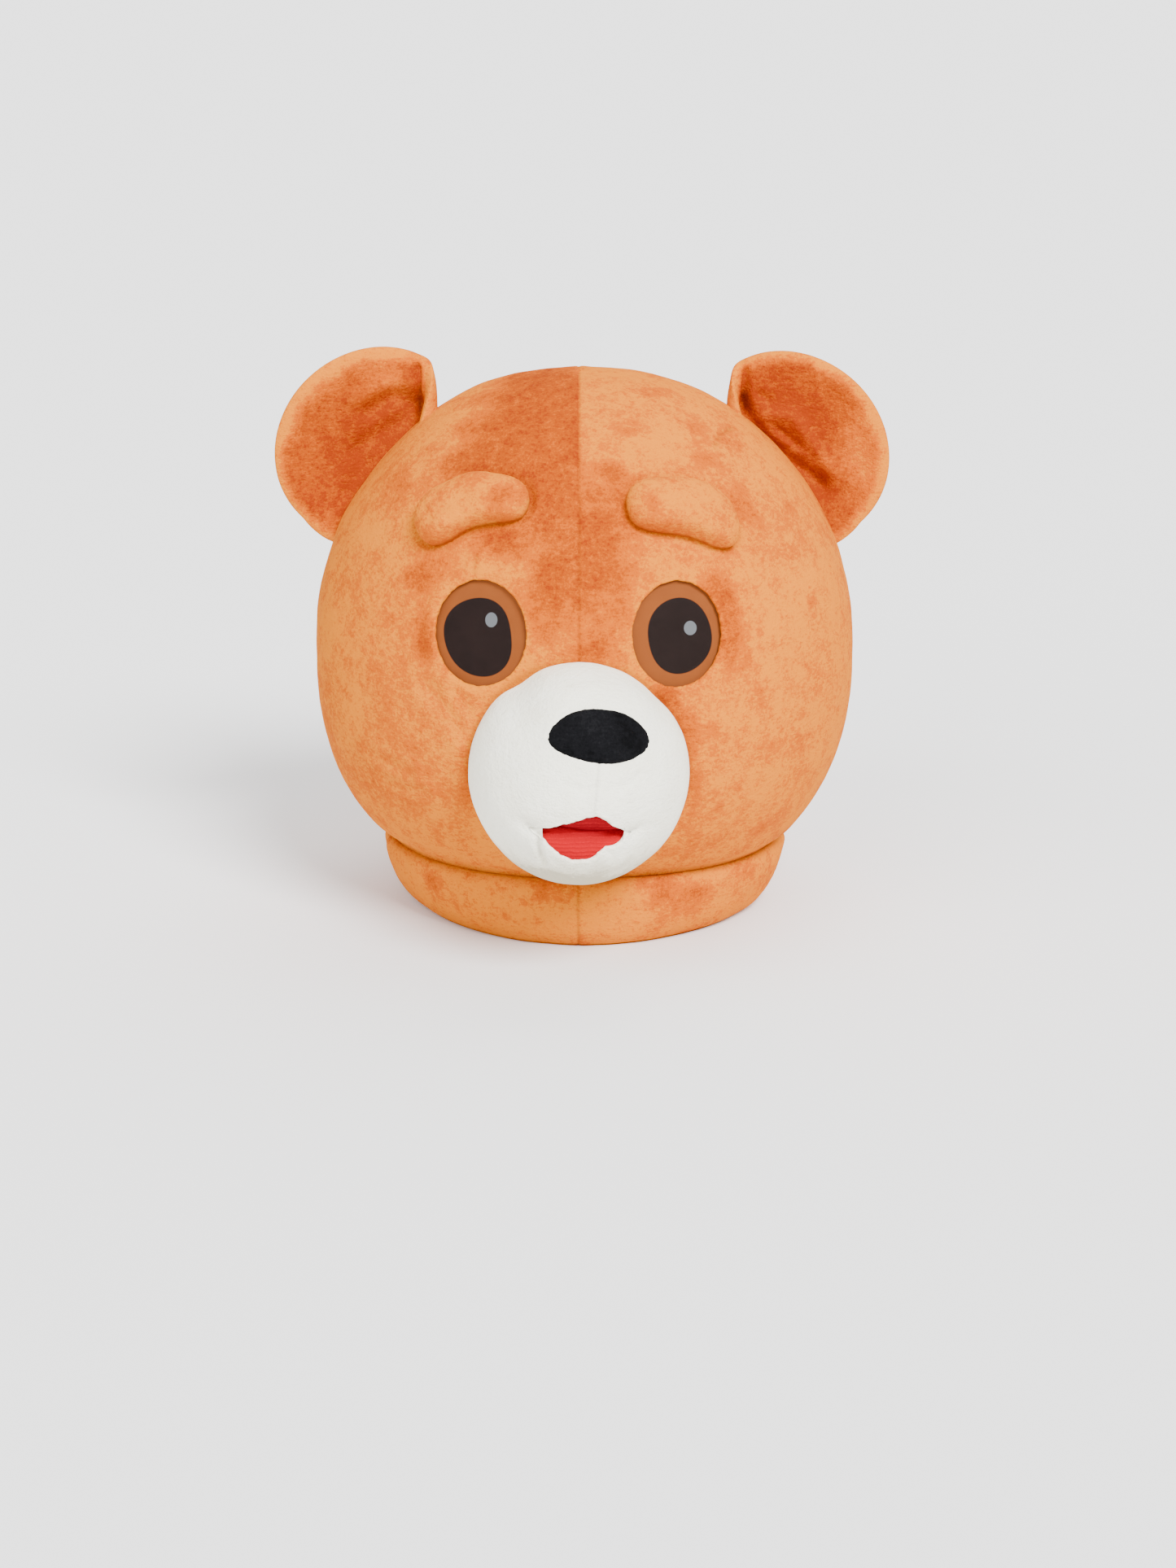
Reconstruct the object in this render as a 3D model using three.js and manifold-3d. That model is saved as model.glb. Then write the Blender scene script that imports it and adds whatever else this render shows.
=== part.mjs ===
// A padded plush bear head that is worn over the wearer's own head.
// It stands on its collar, faces -Y, and is built of a hollow head shell, two cupped ears,
// two stuffed brows, two see-through eye panels, a stuffed muzzle with a nose patch and a
// lined mouth, and a padded collar. Left and right are the wearer's own.
// Lengths are in millimetres, +Z is up. While the pieces are made, the origin is the middle of
// the head at its widest level; the finished group is then set down on the plane z = 0.

import * as THREE from "three";
import { mergeVertices } from "three/addons/utils/BufferGeometryUtils.js";
import Module from "manifold-3d";

const wasm = await Module();
wasm.setup();

// Head shell
const HEAD_WIDTH = 385;
const HEAD_DEPTH = 352;
const CROWN_HEIGHT = 202; // from the widest level up to the crown
const CHIN_DEPTH = 178; // from the widest level down to where the round form would close
const NECK_DROP = 131; // from the widest level down to the collar seam
// Fullness of a rounded outline: 2 is an ellipse, more is squarer.
const PLAN_FULLNESS = 2.1;
const CROWN_FULLNESS = 2.06;
const CHEEK_FULLNESS = 2.3;
const FOOT_FULLNESS = 1.85; // of the collar's foot, seen from above
const HEAD_WALL = 16; // foam and plush together
const PLUSH_LIP = 3.5; // thickness of the plush edge in front of an eye panel
const PANEL_MARGIN = 6; // how far an eye panel reaches behind the plush edge

// Collar
const COLLAR_HEIGHT = 52;
const COLLAR_WALL = 20;
const COLLAR_BULGE = 6;
const COLLAR_SIDE_TAPER = 13; // how much narrower the foot is at the sides than the seam
const COLLAR_FRONT_TAPER = 1; // and at the front and back

// Eyes
const EYE_SPACING = 136;
const EYE_RISE = 53; // above the widest level
const EYE_WIDTH = 64;
const EYE_HEIGHT = 71;
const EYE_TILT = 8; // degrees that the lower ends lean to the nose
const EYE_PANEL_THICKNESS = 1.2;

// Brows
const BROW_SPACING = 142;
const BROW_DROP = 74; // from the crown's level down to the middle of a brow
const BROW_LENGTH = 90;
const BROW_BREADTH = 38;
const BROW_LIFT = 15; // how far a brow stands off the forehead
const BROW_BOW = 13; // rise of the middle of the brow over its ends
const BROW_TILT = 13; // degrees that the outer ends drop
const BROW_BLUNTNESS = 4; // 2 is an oval brow, more has blunter ends

// Ears
const EAR_LENGTH = 144;
const EAR_HEIGHT = 128;
const EAR_BASE_SPREAD = 0.2; // share that the disc is longer at its foot than across its middle
const EAR_PADDING = 17;
const EAR_ANGLE = 47.6; // degrees from straight up to the side
const EAR_STAND = 12; // from the head's surface out to the middle of the disc
const EAR_SHIFT = 5; // from there along the seam to the crown
const EAR_SETBACK = 26; // behind the widest section of the head
const EAR_CUP = 13; // how far the rim comes forward of the middle
const EAR_FOLD_RADIUS = 18;
const EAR_FOLD_TURN = 100; // degrees that the inner corner turns to the front
const EAR_FOLD_START = 47; // from the disc's middle, along the seam
const EAR_FOLD_SLANT = 1; // how far the fold leans along the seam for its height

// Muzzle, nose and mouth
const MUZZLE_WIDTH = 149;
const MUZZLE_HEIGHT = 154;
const MUZZLE_REACH = 80; // from the muzzle's middle to its front
const MUZZLE_SINK = 11; // how far the middle lies behind the front of the face
const MUZZLE_DROP = 42; // below the widest level
const NOSE_WIDTH = 65;
const NOSE_HEIGHT = 37;
const NOSE_PAD = 3;
const NOSE_LIFT = 35; // degrees above straight ahead, seen from the muzzle's middle
const NOSE_TURN = 12; // degrees to the wearer's left
const NOSE_TILT = -6; // degrees, in its own plane
const MOUTH_WIDTH = 57;
const UPPER_LIP = 13; // from the corners' level up to the edge of the upper lip
const LOWER_LIP = 22;
const MOUTH_CREASE = 5; // from the corners' level down to the crease
const MOUTH_DEPTH = 12;
const MOUTH_DROP = 17; // degrees below straight ahead
const MOUTH_TURN = 2;
const MOUTH_TILT = -3;
const MOUTH_CLOTH = 2.5;

// The face's middle line lies a little to the wearer's right of the head's.
const FACE_SHIFT = -4;
const GAP = 0.3; // between two pieces that meet

// Soft relief of the face, as shares of the head's width and crown height, with the rise in mm.
const FACE_RELIEF = [
  { part: "eye hollow", across: 0.34, up: 0.24, reach: 0.2, rise: -4 },
  { part: "eye hollow", across: -0.34, up: 0.24, reach: 0.2, rise: -4 },
  { part: "cheek", across: 0.62, up: -0.36, reach: 0.26, rise: 3 },
  { part: "cheek", across: -0.62, up: -0.36, reach: 0.26, rise: 3 },
];

// Facets round and along each round form
const HEAD_FACETS = [48, 28];
const CAVITY_FACETS = [32, 18];
const MUZZLE_FACETS = [32, 20];
const EAR_FACETS = [30, 16];
const BROW_FACETS = [16, 14];
const MOUTH_FACETS = [12, 8];
const COLLAR_FACETS = 48;
const OUTLINE_POINTS = 14;

const FAR = 3 * HEAD_WIDTH; // longer than anything that a cut has to pass through
const radians = THREE.MathUtils.degToRad;
const UP = new THREE.Vector3(0, 0, 1);
const FORWARD = new THREE.Vector3(0, -1, 0);

const plush = new THREE.MeshStandardMaterial({ color: 0xdf8f4e, roughness: 0.9, metalness: 0 });
const whitePlush = new THREE.MeshStandardMaterial({ color: 0xeeece4, roughness: 0.9, metalness: 0 });
const blackPlush = new THREE.MeshStandardMaterial({ color: 0x17181b, roughness: 0.95, metalness: 0 });
const redPlush = new THREE.MeshStandardMaterial({ color: 0xcf2030, roughness: 0.85, metalness: 0 });
const printedMesh = new THREE.MeshStandardMaterial({ color: 0x3a2a24, roughness: 0.7, metalness: 0 });

// Turns a closed geometry into a solid that can be cut and joined.
function solidFrom(geometry) {
  const bare = geometry.clone();
  bare.deleteAttribute("normal");
  bare.deleteAttribute("uv");
  const merged = mergeVertices(bare, 1e-4);
  return new wasm.Manifold(
    new wasm.Mesh({
      numProp: 3,
      vertProperties: merged.attributes.position.array,
      triVerts: new Uint32Array(merged.index.array),
    }),
  );
}

// Turns a solid back into a named mesh.
function meshFrom(name, solid, material) {
  const { vertProperties, triVerts, numProp } = solid.getMesh();
  const positions = new Float32Array((vertProperties.length / numProp) * 3);
  for (let i = 0; i < positions.length / 3; i++) {
    for (let k = 0; k < 3; k++) positions[3 * i + k] = vertProperties[numProp * i + k];
  }
  const geometry = new THREE.BufferGeometry();
  geometry.setAttribute("position", new THREE.BufferAttribute(positions, 3));
  geometry.setIndex([...triVerts]);
  geometry.computeVertexNormals();
  const mesh = new THREE.Mesh(geometry, material);
  mesh.name = name;
  return mesh;
}

// Moves each vertex of a geometry to where the rule says. A rule that mirrors also turns the faces.
function reshape(geometry, rule, mirrored = false) {
  const position = geometry.attributes.position;
  const point = new THREE.Vector3();
  for (let i = 0; i < position.count; i++) {
    point.fromBufferAttribute(position, i);
    position.setXYZ(i, ...rule(point).toArray());
  }
  if (mirrored) {
    const index = geometry.index.array;
    for (let i = 0; i < index.length; i += 3) {
      [index[i + 1], index[i + 2]] = [index[i + 2], index[i + 1]];
    }
  }
  return geometry;
}

// A unit ball whose poles lie along the axis asked for.
function ball([around, along], poles = "z") {
  const geometry = new THREE.SphereGeometry(1, around, along);
  if (poles === "z") geometry.rotateX(Math.PI / 2);
  if (poles === "x") geometry.rotateZ(Math.PI / 2);
  return geometry;
}

// Height of the soft relief at a place on the front of the head.
function relief(x, z) {
  return FACE_RELIEF.reduce((sum, { across, up, reach, rise }) => {
    const dx = (x - FACE_SHIFT) / (HEAD_WIDTH / 2) - across;
    const dz = z / CROWN_HEIGHT - up;
    return sum + rise * Math.exp(-(dx * dx + dz * dz) / (2 * reach * reach));
  }, 0);
}

// The height and fullness of the half of the head that a place belongs to.
const halfOf = (z) =>
  z > 0
    ? { height: CROWN_HEIGHT, fullness: CROWN_FULLNESS }
    : { height: CHIN_DEPTH, fullness: CHEEK_FULLNESS };

// The head's surface in a direction from its middle, grown by an offset. With m for the plan's
// fullness and n for the half's: (|x/a|^m + |y/b|^m)^(n/m) + |z/c|^n = 1, plus the face's relief.
function headSurface(direction, offset = 0) {
  const { height, fullness } = halfOf(direction.z);
  const plan =
    Math.abs(direction.x / (HEAD_WIDTH / 2 + offset)) ** PLAN_FULLNESS +
    Math.abs(direction.y / (HEAD_DEPTH / 2 + offset)) ** PLAN_FULLNESS;
  const upright = Math.abs(direction.z / (height + offset)) ** fullness;
  const reach = (plan ** (fullness / PLAN_FULLNESS) + upright) ** (-1 / fullness);
  const point = direction.clone().multiplyScalar(reach);
  const facing = THREE.MathUtils.clamp((-2 * point.y) / HEAD_DEPTH, 0, 1);
  const rise = relief(point.x, point.z) * facing;
  return point.addScaledVector(direction.clone().normalize(), rise);
}

// The head as one solid ball-like body, grown by an offset.
const headBody = (offset, facets = HEAD_FACETS) =>
  solidFrom(reshape(ball(facets), (point) => headSurface(point, offset)));

// The share of the head's width and depth that is left at a level.
function levelShare(z) {
  const { height, fullness } = halfOf(z);
  return (1 - Math.abs(z / height) ** fullness) ** (1 / fullness);
}

// A frame on the front of the head: x runs across, y up and z out of the surface.
function faceFrame(x, z) {
  const across = Math.abs((2 * x) / HEAD_WIDTH) ** PLAN_FULLNESS;
  const ahead = (levelShare(z) ** PLAN_FULLNESS - across) ** (1 / PLAN_FULLNESS);
  const place = headSurface(new THREE.Vector3(x, (-ahead * HEAD_DEPTH) / 2, z));
  const step = EYE_WIDTH / 8;
  const beside = headSurface(place.clone().setX(place.x + step));
  const above = headSurface(place.clone().setZ(place.z + step));
  const out = beside.sub(place).cross(above.sub(place)).normalize();
  return frameAt(place, out);
}

// A frame at a place, with z along the outward direction and x level.
function frameAt(place, out) {
  const across = new THREE.Vector3().crossVectors(UP, out).normalize();
  const up = new THREE.Vector3().crossVectors(out, across);
  return new THREE.Matrix4().makeBasis(across, up, out).setPosition(place);
}

// A prism of a flat outline, set across a frame and turned in its own plane.
function prism(shape, frame, turn = 0) {
  const geometry = new THREE.ExtrudeGeometry(shape, {
    depth: FAR,
    bevelEnabled: false,
    curveSegments: OUTLINE_POINTS,
  });
  geometry.translate(0, 0, -HEAD_DEPTH / 4);
  geometry.rotateZ(radians(turn));
  geometry.applyMatrix4(frame);
  return solidFrom(geometry);
}

// An oval outline grown by a margin.
function oval(width, height, margin = 0) {
  return new THREE.Shape().absellipse(0, 0, width / 2 + margin, height / 2 + margin, 0, 2 * Math.PI);
}

const eyeFrame = (side) => faceFrame(FACE_SHIFT + (side * EYE_SPACING) / 2, EYE_RISE);

// The prism of one eye opening, grown by a margin. Its lower end leans to the nose.
const eyePrism = (side, margin) =>
  prism(oval(EYE_WIDTH, EYE_HEIGHT, margin), eyeFrame(side), -side * EYE_TILT);

// The hollow shell: open at the neck, with an oval opening at each eye that widens behind the
// plush edge to take the panel.
function makeHeadShell() {
  let shell = headBody(0).subtract(headBody(-HEAD_WALL, CAVITY_FACETS));
  const pocket = headBody(-PLUSH_LIP);
  for (const side of [-1, 1]) {
    shell = shell.subtract(eyePrism(side, 0));
    shell = shell.subtract(eyePrism(side, PANEL_MARGIN + GAP).intersect(pocket));
  }
  const below = new THREE.BoxGeometry(FAR, FAR, FAR).translate(0, 0, -NECK_DROP - FAR / 2);
  return shell.subtract(solidFrom(below));
}

// One see-through panel, curved as the face is, just behind the plush edge.
function makeEyePanel(side) {
  const front = headBody(-PLUSH_LIP - GAP);
  const back = headBody(-PLUSH_LIP - GAP - EYE_PANEL_THICKNESS);
  return front.subtract(back).intersect(eyePrism(side, PANEL_MARGIN));
}

// A stuffed brow: a bean laid along a bow, seated on the forehead and rising from it in step with
// the forehead's own curve. The outer end drops.
function makeBrow(side) {
  const frame = faceFrame(FACE_SHIFT + (side * BROW_SPACING) / 2, CROWN_HEIGHT - BROW_DROP);
  const rule = (point) => {
    const across = (point.x * BROW_LENGTH) / 2;
    const up = (point.y * BROW_BREADTH) / 2 + BROW_BOW * (0.5 - point.x * point.x);
    const seat = new THREE.Vector3(across, up, 0)
      .applyAxisAngle(UP, radians(-side * BROW_TILT))
      .applyMatrix4(frame);
    return headSurface(seat, point.z * BROW_LIFT);
  };
  return solidFrom(reshape(bean(), rule)).subtract(headBody(GAP));
}

// A unit ball with blunter ends along x, so that a brow keeps its breadth over its length.
function bean() {
  return reshape(ball(BROW_FACETS, "x"), (point) => {
    const round = Math.sqrt(Math.max(1e-9, 1 - point.x * point.x));
    const blunt = Math.sqrt(1 - Math.abs(point.x) ** BROW_BLUNTNESS) / round;
    return new THREE.Vector3(point.x, point.y * blunt, point.z * blunt);
  });
}

// Where the ear's disc runs in plan: straight along its seam, then round a slanted fold to the
// front. Gives the place along the seam, the place forward and the angle turned so far.
function earPlan(along, height) {
  const foldStart = EAR_FOLD_START + EAR_FOLD_SLANT * height;
  if (along < foldStart) return { seam: along, ahead: 0, angle: 0 };
  const turn = radians(EAR_FOLD_TURN);
  const angle = Math.min((along - foldStart) / EAR_FOLD_RADIUS, turn);
  const past = along - foldStart - angle * EAR_FOLD_RADIUS;
  return {
    seam: foldStart + EAR_FOLD_RADIUS * Math.sin(angle) + past * Math.cos(angle),
    ahead: EAR_FOLD_RADIUS * (1 - Math.cos(angle)) + past * Math.sin(angle),
    angle,
  };
}

// One ear: a round padded disc, cupped to the front, whose inner corner is folded forward, cut
// off where it is sewn to the head.
function makeEar(side) {
  const lean = radians(EAR_ANGLE);
  const out = new THREE.Vector3(side * Math.sin(lean), 0, Math.cos(lean));
  const seamLine = new THREE.Vector3(-side * Math.cos(lean), 0, Math.sin(lean));
  const middle = headSurface(out)
    .addScaledVector(out, EAR_STAND)
    .addScaledVector(seamLine, EAR_SHIFT);
  middle.y = EAR_SETBACK;
  const rule = (point) => {
    const spread = 1 + EAR_BASE_SPREAD * Math.max(0, -point.y);
    const height = (point.y * EAR_HEIGHT) / 2;
    const plan = earPlan((point.x * spread * EAR_LENGTH) / 2, height);
    const rim = Math.min(point.x, 0) ** 2 + point.y ** 2;
    const padding = (Math.sign(point.z) * Math.abs(point.z) ** 0.6 * EAR_PADDING) / 2;
    const forward = EAR_CUP * rim + padding;
    return middle
      .clone()
      .addScaledVector(seamLine, plan.seam - Math.sin(plan.angle) * forward)
      .addScaledVector(FORWARD, plan.ahead + Math.cos(plan.angle) * forward)
      .addScaledVector(out, height);
  };
  const disc = reshape(ball(EAR_FACETS), rule, side > 0);
  return solidFrom(disc).subtract(headBody(GAP));
}

const muzzleMiddle = new THREE.Vector3(FACE_SHIFT, -HEAD_DEPTH / 2 + MUZZLE_SINK, -MUZZLE_DROP);

// The muzzle's surface in a direction from its own middle, grown by an offset.
function muzzleSurface(direction, offset = 0) {
  const scaled = new THREE.Vector3(
    direction.x / (MUZZLE_WIDTH / 2 + offset),
    direction.y / (MUZZLE_REACH + offset),
    direction.z / (MUZZLE_HEIGHT / 2 + offset),
  );
  return direction.clone().divideScalar(scaled.length()).add(muzzleMiddle);
}

const muzzleBody = (offset) =>
  solidFrom(reshape(ball(MUZZLE_FACETS), (point) => muzzleSurface(point, offset)));

// A frame on the muzzle, at a turn to the wearer's left and a lift, both in degrees.
function muzzleFrame(turn, lift) {
  const out = new THREE.Vector3(
    Math.cos(radians(lift)) * Math.sin(radians(turn)),
    -Math.cos(radians(lift)) * Math.cos(radians(turn)),
    Math.sin(radians(lift)),
  );
  return frameAt(muzzleSurface(out), out);
}

// The nose patch: an oval pad that follows the muzzle's surface.
function makeNose() {
  const frame = muzzleFrame(NOSE_TURN, NOSE_LIFT);
  const geometry = new THREE.ExtrudeGeometry(oval(NOSE_WIDTH, NOSE_HEIGHT), {
    depth: MUZZLE_REACH,
    bevelEnabled: false,
    curveSegments: OUTLINE_POINTS,
  });
  geometry.translate(0, 0, -MUZZLE_REACH / 2);
  geometry.rotateZ(radians(NOSE_TILT));
  geometry.applyMatrix4(frame);
  return muzzleBody(NOSE_PAD).subtract(muzzleBody(GAP)).intersect(solidFrom(geometry));
}

// How deep a place of the mouth lies: nothing at the lips, most at the crease.
// along runs from -1 to 1 between the corners, up in mm from the corners' level.
function mouthDepth(along, up) {
  const open = 1 - Math.min(1, along * along);
  const crease = -MOUTH_CREASE * open;
  const reach = up > crease ? UPPER_LIP * open - crease : LOWER_LIP * open + crease;
  const share = 1 - Math.min(1, Math.abs(up - crease) / Math.max(reach, GAP));
  return MOUTH_DEPTH * open * share;
}

// A lens-shaped body between the lips, grown by a margin. Its front and back lie at the depths
// that two rules give, measured inwards from the muzzle's surface.
function mouthBody(margin, frontDepth, backDepth) {
  const frame = muzzleFrame(MOUTH_TURN, -MOUTH_DROP);
  const curve = (across, up) => across * across / MUZZLE_WIDTH + up * up / MUZZLE_HEIGHT;
  const rule = (point) => {
    const open = 1 - point.x * point.x;
    const share = (point.y + 1) / 2;
    const cornerHeight = MOUTH_CLOTH / 2 + margin;
    const low = -LOWER_LIP * open - cornerHeight;
    const high = UPPER_LIP * open + cornerHeight;
    const across = point.x * (MOUTH_WIDTH / 2 + margin);
    const up = low + (high - low) * share;
    const depth = (point.z > 0 ? frontDepth : backDepth)(point.x, up);
    return new THREE.Vector3(across, up, -depth - curve(across, up))
      .applyAxisAngle(UP, radians(MOUTH_TILT))
      .applyMatrix4(frame);
  };
  return solidFrom(reshape(new THREE.BoxGeometry(2, 2, 2, ...MOUTH_FACETS, 1), rule));
}

// The red cloth that lines the mouth: two leaves that meet at a crease.
const makeMouthLining = () =>
  mouthBody(
    0,
    (along, up) => GAP + mouthDepth(along, up),
    (along, up) => GAP + MOUTH_CLOTH + mouthDepth(along, up),
  );

// The stuffed muzzle, seated on the face, with the mouth cut in.
function makeMuzzle() {
  const mouth = mouthBody(
    GAP,
    () => -MUZZLE_REACH / 4,
    (along, up) => 2 * GAP + MOUTH_CLOTH + mouthDepth(along, up),
  );
  return muzzleBody(0).subtract(headBody(GAP)).subtract(mouth);
}

// The collar's outline in section, with x out from the seam and y up from it. It is flat where
// it meets the head and where it rests.
function collarProfile() {
  const foot = -COLLAR_HEIGHT;
  const round = COLLAR_WALL / 4;
  const path = new THREE.Path();
  path.moveTo(-COLLAR_WALL, -GAP - round);
  path.lineTo(-COLLAR_WALL, foot + round);
  path.quadraticCurveTo(-COLLAR_WALL, foot, -COLLAR_WALL + round, foot);
  path.lineTo(-1.6 * round, foot);
  path.bezierCurveTo(-0.2 * round, foot, COLLAR_BULGE, 0.75 * foot, COLLAR_BULGE, 0.38 * foot);
  path.quadraticCurveTo(COLLAR_BULGE, -GAP, -0.4 * round, -GAP);
  path.lineTo(-COLLAR_WALL + round, -GAP);
  path.quadraticCurveTo(-COLLAR_WALL, -GAP, -COLLAR_WALL, -GAP - round);
  return path.getPoints(3).filter((point, i, all) => i === 0 || point.distanceTo(all[i - 1]) > 1e-6);
}

// The padded collar: the profile carried round the neck seam, narrower at the foot.
function makeCollar() {
  const seamSide = (levelShare(-NECK_DROP) * HEAD_WIDTH) / 2;
  const seamFront = (levelShare(-NECK_DROP) * HEAD_DEPTH) / 2;
  const outline = collarProfile().map((point) => new THREE.Vector2(seamSide + point.x, point.y));
  const band = new THREE.LatheGeometry(outline, COLLAR_FACETS);
  band.rotateX(Math.PI / 2);
  const rule = ({ x, y, z }) => {
    const radius = Math.hypot(x, y);
    const [across, along] = [x / radius, y / radius];
    const fall = Math.min(1, -z / COLLAR_HEIGHT);
    const fullness = THREE.MathUtils.lerp(PLAN_FULLNESS, FOOT_FULLNESS, fall);
    const full = (Math.abs(across) ** fullness + Math.abs(along) ** fullness) ** (-1 / fullness);
    const side = radius - COLLAR_SIDE_TAPER * fall;
    const front = radius - seamSide + seamFront - COLLAR_FRONT_TAPER * fall;
    return new THREE.Vector3(across * full * side, along * full * front, z - NECK_DROP);
  };
  return solidFrom(reshape(band, rule));
}

const bearHead = new THREE.Group();
bearHead.name = "bear_head";
bearHead.add(meshFrom("head_shell", makeHeadShell(), plush));
bearHead.add(meshFrom("collar", makeCollar(), plush));
bearHead.add(meshFrom("muzzle", makeMuzzle(), whitePlush));
bearHead.add(meshFrom("nose_patch", makeNose(), blackPlush));
bearHead.add(meshFrom("mouth_lining", makeMouthLining(), redPlush));
for (const [word, side] of [["left", 1], ["right", -1]]) {
  bearHead.add(meshFrom(`${word}_ear`, makeEar(side), plush));
  bearHead.add(meshFrom(`${word}_brow`, makeBrow(side), plush));
  bearHead.add(meshFrom(`${word}_eye_panel`, makeEyePanel(side), printedMesh));
}

// Set down on the plane z = 0, with the middle of its bounding box over the origin.
const bounds = new THREE.Box3().setFromObject(bearHead);
const centre = bounds.getCenter(new THREE.Vector3());
bearHead.position.set(-centre.x, -centre.y, -bounds.min.z);

export default bearHead;
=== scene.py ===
"""A padded plush bear head that is worn over the wearer's own head.

The head stands on its collar and faces -Y. Every form is worked out in millimetres from the
middle of the head at its widest level, with +X to the wearer's left, and is put into the
object's own frame in metres when its mesh is made.
"""

import math

import bpy
import numpy as np
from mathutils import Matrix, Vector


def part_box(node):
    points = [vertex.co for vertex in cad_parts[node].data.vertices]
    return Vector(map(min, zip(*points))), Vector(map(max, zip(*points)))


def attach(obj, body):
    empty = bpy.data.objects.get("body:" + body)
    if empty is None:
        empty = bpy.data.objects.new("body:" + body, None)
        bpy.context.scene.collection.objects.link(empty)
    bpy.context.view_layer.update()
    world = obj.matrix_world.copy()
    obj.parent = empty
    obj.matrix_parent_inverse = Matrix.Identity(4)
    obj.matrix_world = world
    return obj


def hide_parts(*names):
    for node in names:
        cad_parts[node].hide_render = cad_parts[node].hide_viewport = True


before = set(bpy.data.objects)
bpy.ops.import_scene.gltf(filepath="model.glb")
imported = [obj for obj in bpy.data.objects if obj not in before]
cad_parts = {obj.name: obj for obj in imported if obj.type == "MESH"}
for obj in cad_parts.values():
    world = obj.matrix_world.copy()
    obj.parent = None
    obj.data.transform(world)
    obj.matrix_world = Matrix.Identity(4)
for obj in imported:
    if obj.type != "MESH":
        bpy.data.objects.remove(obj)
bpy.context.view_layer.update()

# Head shell, in millimetres, as in the part
HEAD_WIDTH = 385.0
HEAD_DEPTH = 352.0
CROWN_HEIGHT = 202.0  # from the widest level up to the crown
CHIN_DEPTH = 178.0  # from the widest level down to where the round form would close
NECK_DROP = 131.0  # from the widest level down to the collar seam
PLAN_FULLNESS = 2.1  # 2 is an ellipse, more is squarer
CROWN_FULLNESS = 2.06
CHEEK_FULLNESS = 2.3
FOOT_FULLNESS = 1.85
HEAD_WALL = 16.0
PLUSH_LIP = 3.5  # thickness of the plush edge in front of an eye panel
PANEL_MARGIN = 6.0  # how far an eye panel reaches behind that edge
FACE_SHIFT = -4.0  # the face's middle line lies a little to the wearer's right
GAP = 0.3

# Collar
COLLAR_HEIGHT = 52.0
COLLAR_WALL = 20.0
COLLAR_BULGE = 6.0
COLLAR_SIDE_TAPER = 13.0
COLLAR_FRONT_TAPER = 1.0
COLLAR_TUCK = 5.0  # how much its outer side draws in towards the foot
COLLAR_RADII = 140.0, 130.0  # to the sides and ahead, for its lumps

# Eyes
EYE_SPACING = 136.0
EYE_RISE = 53.0
EYE_WIDTH = 64.0
EYE_HEIGHT = 71.0
EYE_WIDER = {1: 1.4, -1: 4.0}  # how much wider the plush opens at the left eye and at the right
EYE_TALLER = 3.5
EYE_TILT = 8.0
EYE_PANEL_THICKNESS = 1.2
PANEL_WIDTH = EYE_WIDTH + 2 * PANEL_MARGIN
PANEL_HEIGHT = EYE_HEIGHT + 2 * PANEL_MARGIN
PANEL_SET_BACK = 0.2  # more than the gap, behind the lip
PANEL_SAG = 1.4  # how much its middle lies deeper than its edge

# Brows
BROW_LIFT = 17.0
BROW_WRAP = 1.95  # radians from its top to its seam, past a quarter turn
BROW_ROOT = 2.0  # how deep its seam lies in the forehead
BROW_UNLIKE = 70  # shifts each brow's lumps, so that the two differ

# Ears
EAR_LENGTH = 144.0
EAR_HEIGHT = 128.0
EAR_BASE_SPREAD = 0.2
EAR_PADDING = 17.0
EAR_ANGLE = 47.6
EAR_STAND = {1: 7.5, -1: 12.0}  # the left ear is sewn on a little nearer
EAR_SHIFT = 5.0
EAR_SETBACK = 26.0
EAR_CUP = 13.0
EAR_FOLD_RADIUS = 10.0
EAR_FOLD_TURN = 150.0
EAR_FOLD_START = 54.0
EAR_FOLD_SLANT = 1.0
EAR_ROOT = 3.0  # how deep an ear reaches into the head
EAR_UNLIKE = 40  # shifts each ear's lumps, so that the two differ

# Muzzle, nose and mouth
MUZZLE_WIDTH = 149.0
MUZZLE_HEIGHT = 154.0
MUZZLE_REACH = 80.0
MUZZLE_SINK = 11.0
MUZZLE_DROP = 42.0
MUZZLE_ROOT = 4.0  # how deep it reaches into the head
NOSE_PAD = 3.0
NOSE_LIFT = 33.8
NOSE_TURN = 12.8
NOSE_FLAT = 0.86  # the share of the way to its outline where it starts to fall
NOSE_SUNK = 0.6  # how far its edge is pressed into the muzzle
NOSE_ROOT = 2.0  # how deep its back lies in the muzzle
MOUTH_WIDTH = 57.0
MOUTH_DEPTH = 12.0
MOUTH_DROP = 17.0
MOUTH_TURN = 2.0
MOUTH_TILT = -3.0
MOUTH_CLOTH = 2.5
LINING_INSIDE = 2.6  # how far behind the muzzle's surface the red cloth starts
LINING_LAP = 2.6  # how far it reaches past the lips above and below
LINING_ENDS = 7.2  # and at the corners

# Cloth
STITCH = 6.5
THREAD = 0.85  # from one thread of the eye mesh to the next

# The picture, in pixels: its size, where the head's middle lies in it, and the camera that took it
PICTURE_WIDTH, PICTURE_HEIGHT = 1445, 1927
MIDDLE_ACROSS, MIDDLE_DOWN = 718.0, 796.0
PIXEL = 0.585  # mm at the head
CAMERA_AWAY = 2500.0
CAMERA_LIFT = 15.0  # degrees above level
SENSOR = 36.0
FLOOR = 40.0  # metres to its edge

# Soft relief of the face: across and up as shares of the half width and the crown's height,
# reach as a share too, and the rise in mm. Eye hollows first, then cheeks.
FACE_RELIEF = [
    (0.34, 0.24, 0.2, -4.0), (-0.34, 0.24, 0.2, -4.0),
    (0.62, -0.36, 0.26, 3.0), (-0.62, -0.36, 0.26, 3.0),
]

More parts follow.
